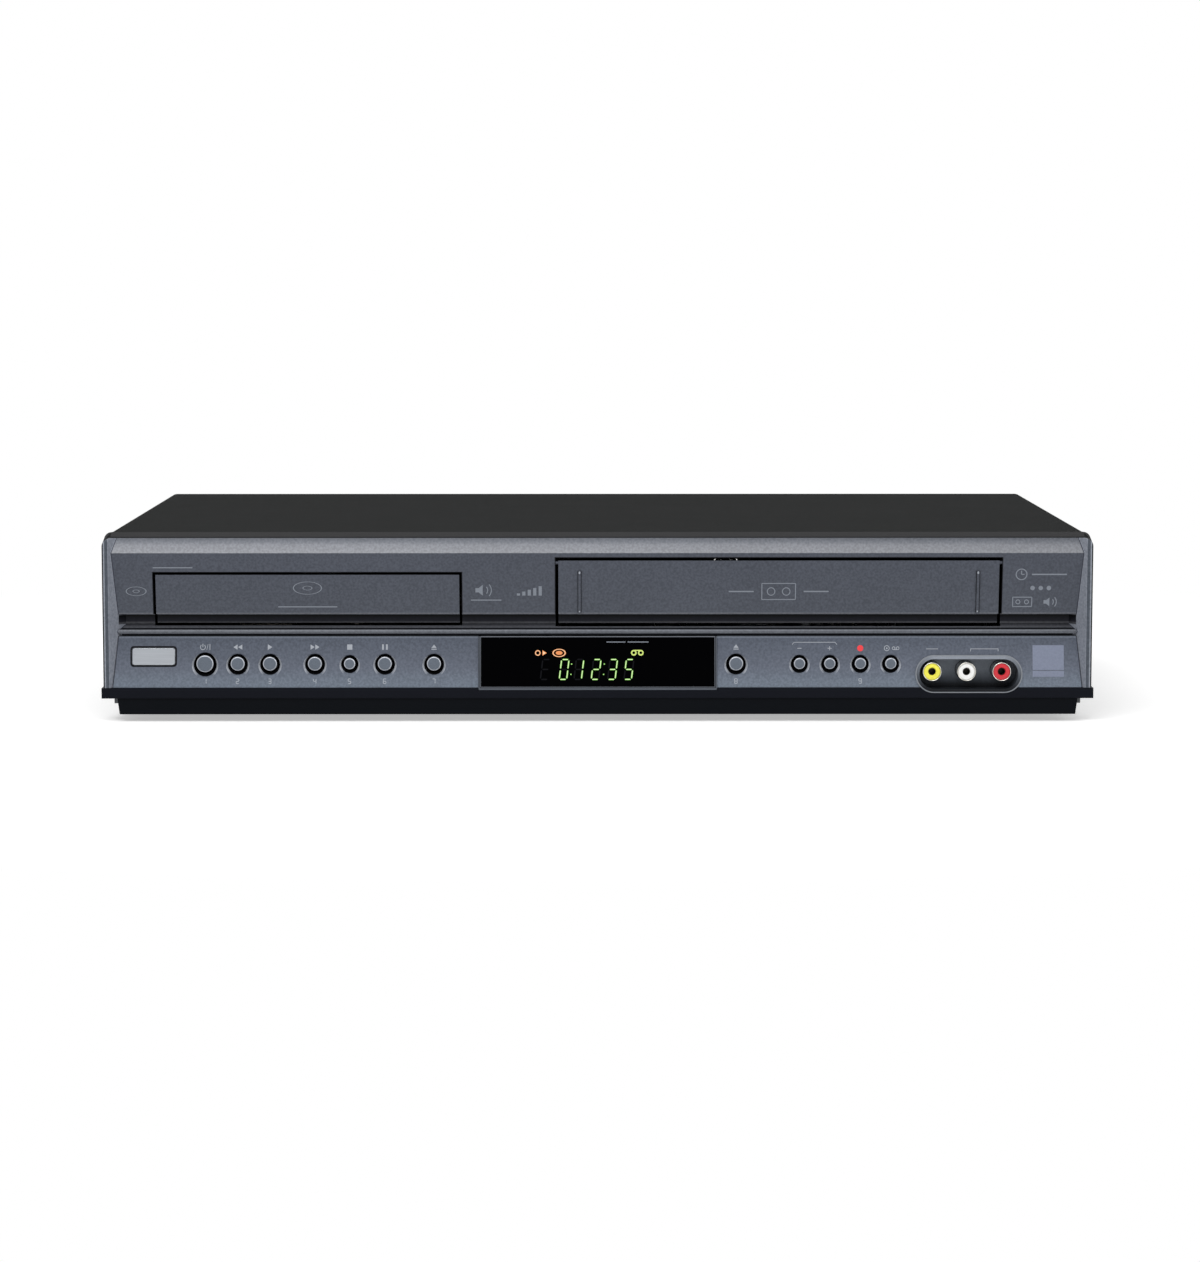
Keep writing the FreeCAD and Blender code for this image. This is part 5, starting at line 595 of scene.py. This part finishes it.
def stroke(bm, x0, z0, x1, z1, width, surface, proud=0.04):
    """A straight printed line."""
    span = math.hypot(x1 - x0, z1 - z0)
    nx, nz = -(z1 - z0) / span * width / 2, (x1 - x0) / span * width / 2
    flat(bm, [(x0 + nx, z0 + nz), (x1 + nx, z1 + nz), (x1 - nx, z1 - nz), (x0 - nx, z0 - nz)],
         surface, proud)


def domes():
    """A low dome on each button's cap."""
    for button, x in BUTTON_X.items():
        low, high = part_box(button)
        cap = (high.x - low.x) / 2 / MM - CAP_INSET
        dome = cap - 0.4
        profile = [(cap, 0.42), (cap, 0.16), (cap - 0.08, 0.04), (dome, -DOME_RISE)]
        for i in range(1, 7):
            reach = dome * (1 - i / 6)
            profile.append((reach, -DOME_RISE - DOME_RISE * (1 - (reach / dome) ** 2)))
        bm = bmesh.new()
        lathe(bm, profile, (x, low.y / MM, BUTTON_Z), (0, 1, 0))
        piece(button.replace("button", "dome"), bm, "cap", BODY_OF[button])


def power_mark(bm, x):
    """An open ring with a bar in its gap, then a slash and a second bar."""
    ring(bm, x - 1.0, ICON_Z, *ROUND_MARK, control_y, 125, 415)
    stroke(bm, x - 1.0, ICON_Z, x - 1.0, ICON_Z + 1.5, MARK_LINE, control_y)
    stroke(bm, x + 0.7, ICON_Z - 1.2, x + 1.3, ICON_Z + 1.3, 0.22, control_y)
    stroke(bm, x + 2.1, ICON_Z - 1.2, x + 2.1, ICON_Z + 1.3, MARK_LINE, control_y)


def open_mark(bm, x):
    """A low triangle over a bar."""
    half = SQUARE_MARK
    flat(bm, [(x - half, ICON_Z - 0.4), (x + half, ICON_Z - 0.4), (x, ICON_Z + 1.1)], control_y)
    flat(bm, rectangle(x - half, x + half, ICON_Z - half, ICON_Z - 0.75), control_y)


def tracking_marks(bm, x0, x1):
    """A minus and a plus, with a line over both that is bent down at its ends."""
    level, top = ICON_Z - 0.6, ICON_Z + 2.0
    for x in (x0, x1):
        stroke(bm, x - 0.9, level, x + 0.9, level, 0.32, control_y)
    stroke(bm, x1, ICON_Z - 1.5, x1, ICON_Z + 0.3, 0.32, control_y, 0.05)
    stroke(bm, x0 - 3.2, top - 1.0, x0 - 2.4, top, THIN_LINE, control_y)
    stroke(bm, x0 - 2.4, top, x1 + 2.4, top, THIN_LINE, control_y)
    stroke(bm, x1 + 2.4, top, x1 + 3.2, top - 1.0, THIN_LINE, control_y)


def source_mark(bm, x):
    """A disc beside two tape reels."""
    level = ICON_Z - 0.6
    ring(bm, x - 1.7, level, *ROUND_MARK, control_y)
    flat(bm, disc(x - 1.7, level, 0.35), control_y)
    for reel in (x + 1.3, x + 3.1):
        ring(bm, reel, level, 0.75, 0.45, control_y)
    stroke(bm, x + 1.3, ICON_Z - 1.2, x + 3.1, ICON_Z - 1.2, MARK_LINE, control_y, 0.05)


def icons():
    """The usual transport marks above the buttons."""
    bm = bmesh.new()
    power_mark(bm, BUTTON_X["power_button"])
    for name, way in (("rewind_button", -1), ("fast_forward_button", 1)):
        for shift in (-1.05, 1.05):
            triangle(bm, BUTTON_X[name] + shift, ICON_Z, SQUARE_MARK, way, control_y)
    triangle(bm, BUTTON_X["play_button"], ICON_Z, 1.25, 1, control_y)
    x = BUTTON_X["stop_button"]
    flat(bm, rectangle(x - SQUARE_MARK, x + SQUARE_MARK, ICON_Z - SQUARE_MARK,
                       ICON_Z + SQUARE_MARK), control_y)
    for shift in (-0.85, 0.85):
        x = BUTTON_X["pause_button"] + shift
        flat(bm, rectangle(x - 0.4, x + 0.4, ICON_Z - 1.2, ICON_Z + 1.2), control_y)
    for name in ("open_close_button", "eject_button"):
        open_mark(bm, BUTTON_X[name])
    tracking_marks(bm, BUTTON_X["tracking_down_button"], BUTTON_X["tracking_up_button"])
    source_mark(bm, BUTTON_X["source_select_button"])
    piece("printed_marks", bm, "print")
    bm = bmesh.new()
    flat(bm, disc(BUTTON_X["record_button"], ICON_Z - 0.6, 1.36), control_y)
    piece("record_mark", bm, "record_dot")


# The lit bars of each digit: a at the top, clockwise to f, and g in the middle
SEGMENTS = {"0": "abcdef", "1": "bc", "2": "abged", "3": "abgcd", "4": "fgbc", "5": "afgcd",
            "6": "afgedc", "7": "abc", "8": "abcdefg", "9": "abcdfg"}


def digit(bm, bars, x, z, width, height, thick, surface, lean=0.0, gap=0.0, proud=0.04):
    """One seven-segment digit, with its lower left corner at a point."""
    half, mid = thick / 2, height / 2

    def at(u, v):
        return (x + u + v * lean, z + v)

    inner, outer = gap + half, width - gap - half
    near, far = gap + thick, width - gap - thick
    for name, v in {"a": height - half, "g": mid, "d": half}.items():
        if name in bars:
            flat(bm, [at(inner, v), at(near, v - half), at(far, v - half), at(outer, v),
                      at(far, v + half), at(near, v + half)], surface, proud)
    upright = {"f": (half, mid, height - half), "b": (width - half, mid, height - half),
               "e": (half, half, mid), "c": (width - half, half, mid)}
    for name, (u, low, high) in upright.items():
        if name in bars:
            low, high = low + gap, high - gap
            flat(bm, [at(u, low), at(u + half, low + half), at(u + half, high - half),
                      at(u, high), at(u - half, high - half), at(u - half, low + half)],
                 surface, proud)


def numbers():
    """Plain numbers under the buttons, in their order from the left."""
    bm = bmesh.new()
    order = [name for name in sorted(BUTTON_X, key=BUTTON_X.get)
             if not name.startswith(("tracking", "source"))]
    for number, name in enumerate(order, 1):
        digit(bm, SEGMENTS[str(number)], BUTTON_X[name] - 0.85, NUMBER_Z - 1.2, 1.5, 2.4, 0.34,
              control_y)
    piece("printed_numbers", bm, "print")


def socket_lines():
    """A bracket over the two sound sockets and a line over the picture socket."""
    bm = bmesh.new()
    level, left, right = 31.9, 164.5, 176.6
    stroke(bm, left, level, right, level, THIN_LINE, control_y)
    for x in (left, right):
        stroke(bm, x, level - 1.1, x, level + THIN_LINE / 2, THIN_LINE, control_y, 0.05)
    stroke(bm, 144.9, level, 150.1, level, THIN_LINE, control_y)
    piece("socket_lines", bm, "print")


# Left, right, foot and top of the badge, of the dark line round it and of the label's two parts
BADGE, BADGE_LINE = (-205.1, -186.2, 25.0, 32.5), (-205.9, -185.4, 24.2, 33.3)
LABEL_PARTS = ((191.8, 205.6, 22.7, 33.5), (191.8, 205.6, 19.7, 22.3))


def badge_and_label():
    """The bare metal badge on the left and the bare pale label on the right."""
    bm = bmesh.new()
    flat(bm, rectangle(*BADGE_LINE, 1.4), control_y, 0.08)
    piece("badge_outline", bm, "outline")
    bm = bmesh.new()
    slab(bm, rectangle(*BADGE, 1.0), control_y, 0.7, 0.35)
    piece("plain_badge", bm, "badge")
    bm = bmesh.new()
    for box in LABEL_PARTS:
        flat(bm, rectangle(*box, 0.2), control_y, 0.08)
    piece("plain_label", bm, "label")


# ---- display

# The lit digits and where each begins, the dots between them, and an unlit digit before them
DIGIT_FOOT, DIGIT_TOP, DIGIT_WIDTH, DIGIT_THICK, DIGIT_LEAN = 18.4, 27.7, 3.9, 0.64, 0.12
DIGITS = ((-17.3, "0"), (-10.8, "1"), (-3.2, "2"), (4.05, "3"), (11.25, "5"))
DOTS_X, DOTS_Z = (-12.0, 2.4), (20.9, 25.4)
UNLIT_DIGIT = (-25.6, "1")
# The marks over the digits: their height, a disc, a loop and a play mark. Rings have an outer
# and an inner radius, once for the mark and once for its brighter core
MARK_Z, DISC_X, LOOP_X, PLAY_X = 30.25, -17.0, -26.4, -23.4
DISC_RINGS, LOOP_RINGS, DISC_SQUASH = ((3.0, 2.35), (2.8, 2.55)), ((1.25, 0.75), (1.1, 0.9)), 0.6
# The reels of the tape mark, and the ends and the height of the line printed above
REELS_X, REELS_Z = (15.9, 19.0), 30.3
LINE_ENDS, LINE_Z = ((3.9, 12.2), (13.2, 22.4)), 35.0


def window_y(z):
    """The display window's front."""
    return control_y(z) - WINDOW_RAISE


def lit_digits(name, coat, thick, gap, proud):
    """The digits and their dots, in bars of one thickness."""
    bm = bmesh.new()
    inset = (DIGIT_THICK - thick) / 2
    height = DIGIT_TOP - DIGIT_FOOT
    for x, text in DIGITS:
        digit(bm, SEGMENTS[text], x + inset, DIGIT_FOOT + inset, DIGIT_WIDTH - inset * 2,
              height - inset * 2, thick, window_y, DIGIT_LEAN, gap, proud)
    for x in DOTS_X:
        for z in DOTS_Z:
            shift = (z - DIGIT_FOOT) * DIGIT_LEAN * 0.6
            flat(bm, disc(x + shift, z, thick / 2, steps=16), window_y, proud)
    piece(name, bm, coat)


def unlit_segments():
    """The bars that are not lit, just visible in the window."""
    bm = bmesh.new()
    for x, text in DIGITS + (UNLIT_DIGIT,):
        rest = "".join(bar for bar in "abcdefg" if bar not in SEGMENTS[text])
        digit(bm, rest, x, DIGIT_FOOT, DIGIT_WIDTH, DIGIT_TOP - DIGIT_FOOT, 0.6, window_y,
              DIGIT_LEAN, 0.3, 0.05)
    piece("unlit_segments", bm, "ghost")


def display():
    """Lit digits and marks with brighter cores, unlit segments, and a line printed above."""
    lit_digits("lit_digits", "digits", DIGIT_THICK, 0.3, 0.06)
    lit_digits("lit_digits_core", "digits_core", 0.3, 0.45, 0.08)
    unlit_segments()
    bm = bmesh.new()
    ring(bm, DISC_X, MARK_Z, *DISC_RINGS[0], window_y, squash=DISC_SQUASH, proud=0.06)
    flat(bm, disc(DISC_X, MARK_Z, 1.5, 0.85), window_y, 0.06)
    ring(bm, LOOP_X, MARK_Z, *LOOP_RINGS[0], window_y, proud=0.06)
    triangle(bm, PLAY_X, MARK_Z, 1.2, 1, window_y)
    piece("lit_disc_mark", bm, "amber")
    bm = bmesh.new()
    ring(bm, DISC_X, MARK_Z, *DISC_RINGS[1], window_y, squash=DISC_SQUASH, proud=0.08)
    ring(bm, LOOP_X, MARK_Z, *LOOP_RINGS[1], window_y, proud=0.08)
    triangle(bm, PLAY_X - 0.1, MARK_Z, 0.7, 1, window_y, 0.08)
    piece("lit_disc_mark_core", bm, "amber_core")
    bm = bmesh.new()
    for x in REELS_X:
        ring(bm, x, REELS_Z, 1.25, 0.65, window_y, proud=0.06)
    stroke(bm, REELS_X[0], REELS_Z + 1.05, REELS_X[1], REELS_Z + 1.05, 0.45, window_y, 0.07)
    piece("lit_tape_mark", bm, "lime")
    bm = bmesh.new()
    for left, right in LINE_ENDS:
        stroke(bm, left, LINE_Z, right, LINE_Z, 0.4, window_y, 0.05)
    piece("window_line", bm, "faint")


# ---- signs on the upper face

# Widths of the signs' outlines and of the lines printed beside them
SIGN_LINE, ROUND_SIGN_LINE, TEXT_LINE, WIDE_TEXT_LINE = 0.4, 0.45, 0.5, 0.6
# Signs of the fixed face: x and z of the middle, and half sizes
FACE_DISC, LEFT_SOUND, RIGHT_SOUND = (-203.0, 57.6, 4.6), (-50.6, 58.0, 3.2), (199.0, 52.7, 2.6)
FACE_CLOCK, FACE_CASSETTE = (186.4, 65.0, 2.6), (187.0, 52.7, 4.2, 2.1)
# Lines in place of words: left and right end, height and width
FACE_LINES = ((-195.4, -178.0, 68.1, TEXT_LINE), (-55.8, -42.4, 53.6, TEXT_LINE),
              (191.0, 206.4, 65.0, WIDE_TEXT_LINE))
# Where the bars begin, and the first of three dots with the step to the next
BARS_X, BARS_Z, DOT_X, DOT_Z, DOT_STEP = -35.6, 55.6, 191.4, 58.9, 3.6
# Heights and sizes on the drawer's and on the flap's door, which has its signs in the middle
DRAWER_DISC, DRAWER_LINE = (59.0, 6.4), (13.0, 50.6)
FLAP_CASSETTE, FLAP_LINE = (57.4, 7.4, 3.6), (11.0, 22.0)


def disc_sign(bm, x, z, size):
    """A disc seen at a slant."""
    ring(bm, x, z, size, size - ROUND_SIGN_LINE, face_y, squash=0.45)
    ring(bm, x, z, size * 0.34, size * 0.34 - SIGN_LINE, face_y, squash=0.45)


def cassette_sign(bm, x, z, half, rise):
    """A cassette's outline with its two reels."""
    corners = ((-half, -rise), (half, -rise), (half, rise), (-half, rise))
    for (x0, z0), (x1, z1) in zip(corners, corners[1:] + corners[:1]):
        stroke(bm, x + x0, z + z0, x + x1, z + z1, SIGN_LINE, face_y)
    for side in (-0.45, 0.45):
        ring(bm, x + half * side, z, rise * 0.52, rise * 0.52 - SIGN_LINE, face_y)


def sound_sign(bm, x, z, size):
    """A loudspeaker with two waves."""
    flat(bm, [(x - size, z - size * 0.3), (x - size * 0.55, z - size * 0.3),
              (x, z - size * 0.75), (x, z + size * 0.75), (x - size * 0.55, z + size * 0.3),
              (x - size, z + size * 0.3)], face_y)
    for reach in (0.75, 1.25):
        ring(bm, x, z, size * reach, size * reach - SIGN_LINE, face_y, -42, 42)


def clock_sign(bm, x, z, size):
    """A clock face with two hands."""
    ring(bm, x, z, size, size - ROUND_SIGN_LINE, face_y)
    stroke(bm, x, z, x, z + size * 0.65, SIGN_LINE, face_y)
    stroke(bm, x, z, x + size * 0.5, z, SIGN_LINE, face_y, 0.05)


def bars_sign(bm, x, foot):
    """Five upright bars that grow to the right."""
    for index in range(5):
        left = x + index * 2.4
        flat(bm, rectangle(left, left + 1.4, foot, foot + 1.0 + index * 0.8), face_y)


def signs():
    """Plain signs on the fixed face, the drawer and the flap."""
    bm = bmesh.new()
    disc_sign(bm, *FACE_DISC)
    for size in (LEFT_SOUND, RIGHT_SOUND):
        sound_sign(bm, *size)
    for left, right, z, width in FACE_LINES:
        stroke(bm, left, z, right, z, width, face_y)
    bars_sign(bm, BARS_X, BARS_Z)
    clock_sign(bm, *FACE_CLOCK)
    for index in range(3):
        flat(bm, disc(DOT_X + index * DOT_STEP, DOT_Z, 1.0, steps=20), face_y)
    cassette_sign(bm, *FACE_CASSETTE)
    piece("face_signs", bm, "faint")
    x = middle_x("tray_door")
    reach, z = DRAWER_LINE
    bm = bmesh.new()
    disc_sign(bm, x, *DRAWER_DISC)
    stroke(bm, x - reach, z, x + reach, z, TEXT_LINE, face_y)
    piece("drawer_signs", bm, "faint", "drawer")
    x = middle_x("cassette_flap")
    near, far = FLAP_LINE
    z = FLAP_CASSETTE[0]
    bm = bmesh.new()
    cassette_sign(bm, x, *FLAP_CASSETTE)
    for side in (-1, 1):
        stroke(bm, x + side * near, z, x + side * far, z, WIDE_TEXT_LINE, face_y)
    piece("flap_signs", bm, "faint", "flap")


# ---- ribs, openings, cover's bevel

RIB_HALF, RIB_FOOT, RIB_TOP = 0.7, 48.0, 66.6
# Each ring of the cover's bevel: how far behind the rim and inside the panel's side it lies,
# and its corner's radius across and up
BEVEL_RINGS = ((4.4, 0.0, 4.5, 2.94), (9.7, 0.0, 3.4, 3.4), (9.9, 0.0, 3.4, 3.34),
               (16.2, 1.1, 4.5, 4.44))
BEVEL_FOOT, BEVEL_THICK, BEVEL_STEPS = 77.9, 0.5, 8


def rib_y(z):
    """The front of the flap's ribs."""
    return face_y(z) - RIB_RAISE


def rib_lines():
    """Painted shade along the edges and painted highlights at both ends of each of the flap's two
    ribs.
    """
    low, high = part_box("cassette_flap")
    middle, half = (low.x + high.x) / 2 / MM, (high.x - low.x) / 2 / MM - FLAP_PINS
    edges, ends = bmesh.new(), bmesh.new()
    for side in (-1, 1):
        x = middle + side * (half - RIB_INSET)
        # Painted shade along each side of a rib
        for edge in (x - RIB_HALF, x + RIB_HALF):
            stroke(edges, edge, RIB_FOOT, edge, RIB_TOP, 0.28, rib_y, 0.03)
        # Painted highlights at the rib's top and its foot
        flat(ends, disc(x, RIB_TOP - 0.8, 0.4, 0.55, 16), rib_y, 0.03)
        flat(ends, disc(x, RIB_FOOT + 0.5, 0.3, steps=16), rib_y, 0.03)
    piece("rib_edge_shades", edges, "outline", "flap")
    piece("rib_end_highlights", ends, "print", "flap")


def opening_shades():
    """Painted shade in dark strips along the edges round the drawer's and the flap's openings."""
    above, beside = 0.24, 0.3
    bm = bmesh.new()
    for node, gap, pins in (("tray_door", DOOR_GAP, 0.0), ("cassette_flap", FLAP_GAP, FLAP_PINS)):
        low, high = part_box(node)
        left, right = low.x / MM + pins - gap, high.x / MM - pins + gap
        top = high.z / MM + gap
        stroke(bm, left - beside, top + above / 2, right + beside, top + above / 2, above, face_y,
               0.02)
        for x in (left - beside / 2, right + beside / 2):
            stroke(bm, x, BAND_TOP + 0.1, x, top, beside, face_y, 0.02)
    piece("opening_shades", bm, "outline")


def cover_edge():
    """The cover's front bevel, painted paler than the cover as painted light, which runs down round
    the panel's top corners.
    """
    bm = bmesh.new()
    rings = []
    for back, inset, radius, rise in BEVEL_RINGS:
        half = PANEL_HALF - inset
        level = COVER_TOP - radius
        ring = []
        for thick in (0.0, BEVEL_THICK):
            path = [(half - thick, BEVEL_FOOT)]
            for i in range(BEVEL_STEPS + 1):
                angle = math.radians(90 * i / BEVEL_STEPS)
                path.append((half - radius + (radius - thick) * math.cos(angle),
                             level + (rise - thick) * math.sin(angle)))
            path += [(-x, z) for x, z in reversed(path)]
            ring += path[::-1] if thick else path
        rings.append([bm.verts.new((x, FRONT + back, z)) for x, z in ring])
    skin(bm, rings)
    # The first and the last ring are closed between their outer and their inner half
    last = len(rings[0]) - 1
    for ring in (rings[0], rings[-1]):
        for i in range(last // 2):
            bm.faces.new((ring[i], ring[i + 1], ring[last - 1 - i], ring[last - i]))
    piece("cover_front_edge", bm, "cover_edge")


# ---- sockets

# How far the sockets reach back behind the front's recess and behind the rear panel
FRONT_ROOT, REAR_ROOT = 1.5, 4.3
FRONT_COLOURS = {"front_video_in": "yellow", "front_audio_left_in": "white",
                 "front_audio_right_in": "red"}
# The rear's first nine sockets are picture and sound in threes, the others the parts of a picture
REAR_COLOURS = ("yellow", "white", "red") * 3 + ("green", "blue", "red")


def socket(name, place, axis, length, radius, root, colour):
    """A phono socket: a rolled sleeve, a coloured insulator and a split contact."""
    tip = Vector(place) / MM + Vector(axis) * length / 2
    back = -Vector(axis)
    end = length + root
    bm = bmesh.new()
    lathe(bm, [(radius - 0.42, 0.35), (radius - 0.36, 0.08), (radius - 0.22, 0.0),
               (radius - 0.08, 0.08), (radius, 0.3), (radius, length), (radius - 0.2, length),
               (radius - 0.2, end), (radius - 0.42, end), (radius - 0.42, 0.35)], tip, back)
    sleeve = piece(name + "_sleeve", bm, "nickel")
    bm = bmesh.new()
    lathe(bm, [(0.0, end), (radius - 0.43, end), (radius - 0.43, 0.7), (radius - 0.6, 0.45),
               (2.0, 0.3), (1.75, 0.5), (1.65, 0.9), (1.65, length - 1.6), (0.0, length - 1.6)],
          tip, back)
    core = piece(name + "_core", bm, colour)
    bm = bmesh.new()
    lathe(bm, [(1.64, 1.5), (1.64, length - 1.7), (0.0, length - 1.7), (0.0, length - 1.9),
               (1.35, length - 1.9), (1.35, 1.7), (1.45, 1.5), (1.64, 1.5)], tip, back, 32)
    contact = piece(name + "_contact", bm, "contact")
    return [sleeve, core, contact]


def sockets():
    """Every phono socket, in place of the plain CAD groups."""
    made = {"front_sockets": [], "rear_sockets": []}
    for mount in frame["record"]["mounts"]:
        name = mount["name"]
        if mount["kind"] != "pin":
            continue
        if name in FRONT_COLOURS:
            colour, group, root = FRONT_COLOURS[name], "front_sockets", FRONT_ROOT
        else:
            colour, group, root = REAR_COLOURS[int(name[-2:]) - 1], "rear_sockets", REAR_ROOT
        made[group] += socket(name, mount["pos_m"], mount["axis"], mount["dims"]["length_mm"],
                              mount["dims"]["r_mm"], root, colour)
    for group, pieces in made.items():
        for each in pieces:
            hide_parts(group)


def round_socket():
    """The four-pin round socket on the rear."""
    mount = next(m for m in frame["record"]["mounts"] if m["name"] == "s_video_out")
    x, y, z = (c / MM for c in mount["pos_m"])
    tip, inward = y + 2.2, (0, -1, 0)
    bm = bmesh.new()
    lathe(bm, [(4.7, 0.5), (4.8, 0.1), (5.2, 0.0), (6.3, 0.0), (6.6, 0.3), (6.6, 6.2),
               (4.7, 6.2), (4.7, 0.5)], (x, tip, z), inward)
    sleeve = piece("round_socket_sleeve", bm, "nickel")
    bm = bmesh.new()
    lathe(bm, [(0, 1.2), (3.5, 1.2), (3.8, 1.5), (3.8, 6.2), (4.69, 6.2), (4.69, 6.6), (0, 6.6)],
          (x, tip, z), inward)
    core = piece("round_socket_core", bm, "black")
    bm = bmesh.new()
    for dx in (-1.5, 1.5):
        for dz in (-1.5, 1.5):
            lathe(bm, [(0, 1.17), (0.5, 1.17), (0.62, 1.1), (0.62, 1.3)],
                  (x + dx, tip, z + dz), inward, 16)
    contacts = piece("round_socket_contacts", bm, "brass")
    for each in (sleeve, core, contacts):
        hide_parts("rear_sockets")


# ---- stage, light and camera

# Half the floor's width, its own light, and the oval on it (half sizes in metres) between whose
# inner and outer share the shadow fades into white
FLOOR_HALF, FLOOR_LIGHT = 30.0, 0.42
OVAL_X, OVAL_Y, OVAL_INNER, OVAL_OUTER = 0.62, 0.50, 0.60, 1.05
# The surroundings' light on the player; the camera sees them white
WORLD_LIGHT = 0.5
# Each lamp's name, place, aim, size in metres and power in watts
LAMPS = (("key", (-0.5, -1.3, 1.6), (0, 0, 0.03), (1.8, 1.0), 22),
         ("fill", (1.6, -1.2, 0.8), (0, 0, 0.03), (1.0, 1.0), 7),
         ("top", (0.0, 0.3, 1.8), (0, 0, 0.05), (2.0, 1.2), 4))
# The camera's lens and sensor in millimetres, place in metres, and angles in degrees
LENS, SENSOR, CAMERA_PLACE = 101.17, 36.0, (-0.0053, -1.6795, 0.2092)
CAMERA_DOWN, CAMERA_TURN = 6.219, -0.2329


def shown(tree):
    """1 for the rays that should meet white: the camera's, and those off gloss or through glass."""
    path = tree.nodes.new("ShaderNodeLightPath")
    either = path.outputs["Is Camera Ray"]
    for name in ("Is Glossy Ray", "Is Transmission Ray"):
        node = tree.nodes.new("ShaderNodeMath")
        node.operation = "MAXIMUM"
        tree.links.new(either, node.inputs[0])
        tree.links.new(path.outputs[name], node.inputs[1])
        either = node.outputs[0]
    return either


def floor_material():
    """A pale floor that keeps the shadow near the player and is white further out."""
    mat = Nodes("floor")
    rays = shown(mat.tree)
    grain = mat.ramp(mat.noise(2.0), ((0.35, grey(0.80)), (0.65, grey(0.82))))
    mat.link(grain, mat.shader.inputs["Base Color"])
    mat.shader.inputs["Roughness"].default_value = 0.9
    mat.shader.inputs["Specular IOR Level"].default_value = 0.0
    mat.shader.inputs["Emission Color"].default_value = grey(1.0)
    mat.link(mat.math("MULTIPLY", rays, FLOOR_LIGHT), mat.shader.inputs["Emission Strength"])
    spread = mat.add("ShaderNodeVectorMath", operation="MULTIPLY")
    spread.inputs[1].default_value = (1 / OVAL_X, 1 / OVAL_Y, 0.0)
    mat.link(mat.place, spread.inputs[0])
    length = mat.add("ShaderNodeVectorMath", operation="LENGTH")
    mat.link(spread.outputs["Vector"], length.inputs[0])
    far = mat.range(length.outputs["Value"], 0.0, 1.0, OVAL_INNER, OVAL_OUTER)
    glow = mat.add("ShaderNodeEmission", Color=grey(1.0))
    join = mat.add("ShaderNodeMixShader")
    mat.link(mat.math("MULTIPLY", far, rays), join.inputs[0])
    mat.link(mat.shader.outputs[0], join.inputs[1])
    mat.link(glow.outputs[0], join.inputs[2])
    mat.link(join.outputs[0], mat.tree.nodes["Material Output"].inputs["Surface"])
    return mat.material


def lay_floor(scene):
    """A wide floor, which isn't part of the player."""
    bm = bmesh.new()
    half = FLOOR_HALF
    bm.faces.new([bm.verts.new((x, y, 0)) for x, y in rectangle(-half, half, -half, half)])
    mesh = bpy.data.meshes.new("floor")
    bm.to_mesh(mesh)
    bm.free()
    mesh.materials.append(floor_material())
    floor = bpy.data.objects.new("floor", mesh)
    scene.collection.objects.link(floor)


def stage():
    """A pale floor, soft light, and the camera."""
    scene = bpy.context.scene
    scene.view_settings.view_transform = "Standard"
    lay_floor(scene)

    world = bpy.data.worlds.new("world")
    scene.world = world
    world.use_nodes = True
    tree = world.node_tree
    back = tree.nodes["Background"]
    back.inputs["Color"].default_value = grey(1.0)
    level = tree.nodes.new("ShaderNodeMapRange")
    level.inputs["To Min"].default_value = WORLD_LIGHT
    tree.links.new(shown(tree), level.inputs["Value"])
    tree.links.new(level.outputs["Result"], back.inputs["Strength"])

    for name, place, aim, size, power in LAMPS:
        lamp = bpy.data.lights.new(name, "AREA")
        lamp.shape = "RECTANGLE"
        lamp.size, lamp.size_y = size
        lamp.energy = power
        obj = bpy.data.objects.new(name, lamp)
        scene.collection.objects.link(obj)
        obj.location = place
        obj.rotation_euler = (Vector(aim) - Vector(place)).to_track_quat("-Z", "Y").to_euler()

    camera = bpy.data.cameras.new("camera")
    camera.lens, camera.sensor_width, camera.clip_end = LENS, SENSOR, 100.0
    obj = bpy.data.objects.new("camera", camera)
    scene.collection.objects.link(obj)
    obj.location = CAMERA_PLACE
    obj.rotation_euler = (math.radians(90 - CAMERA_DOWN), 0, math.radians(CAMERA_TURN))
    scene.camera = obj


domes()
icons()
numbers()
socket_lines()
badge_and_label()
display()
signs()
rib_lines()
opening_shades()
cover_edge()
sockets()
round_socket()
stage()
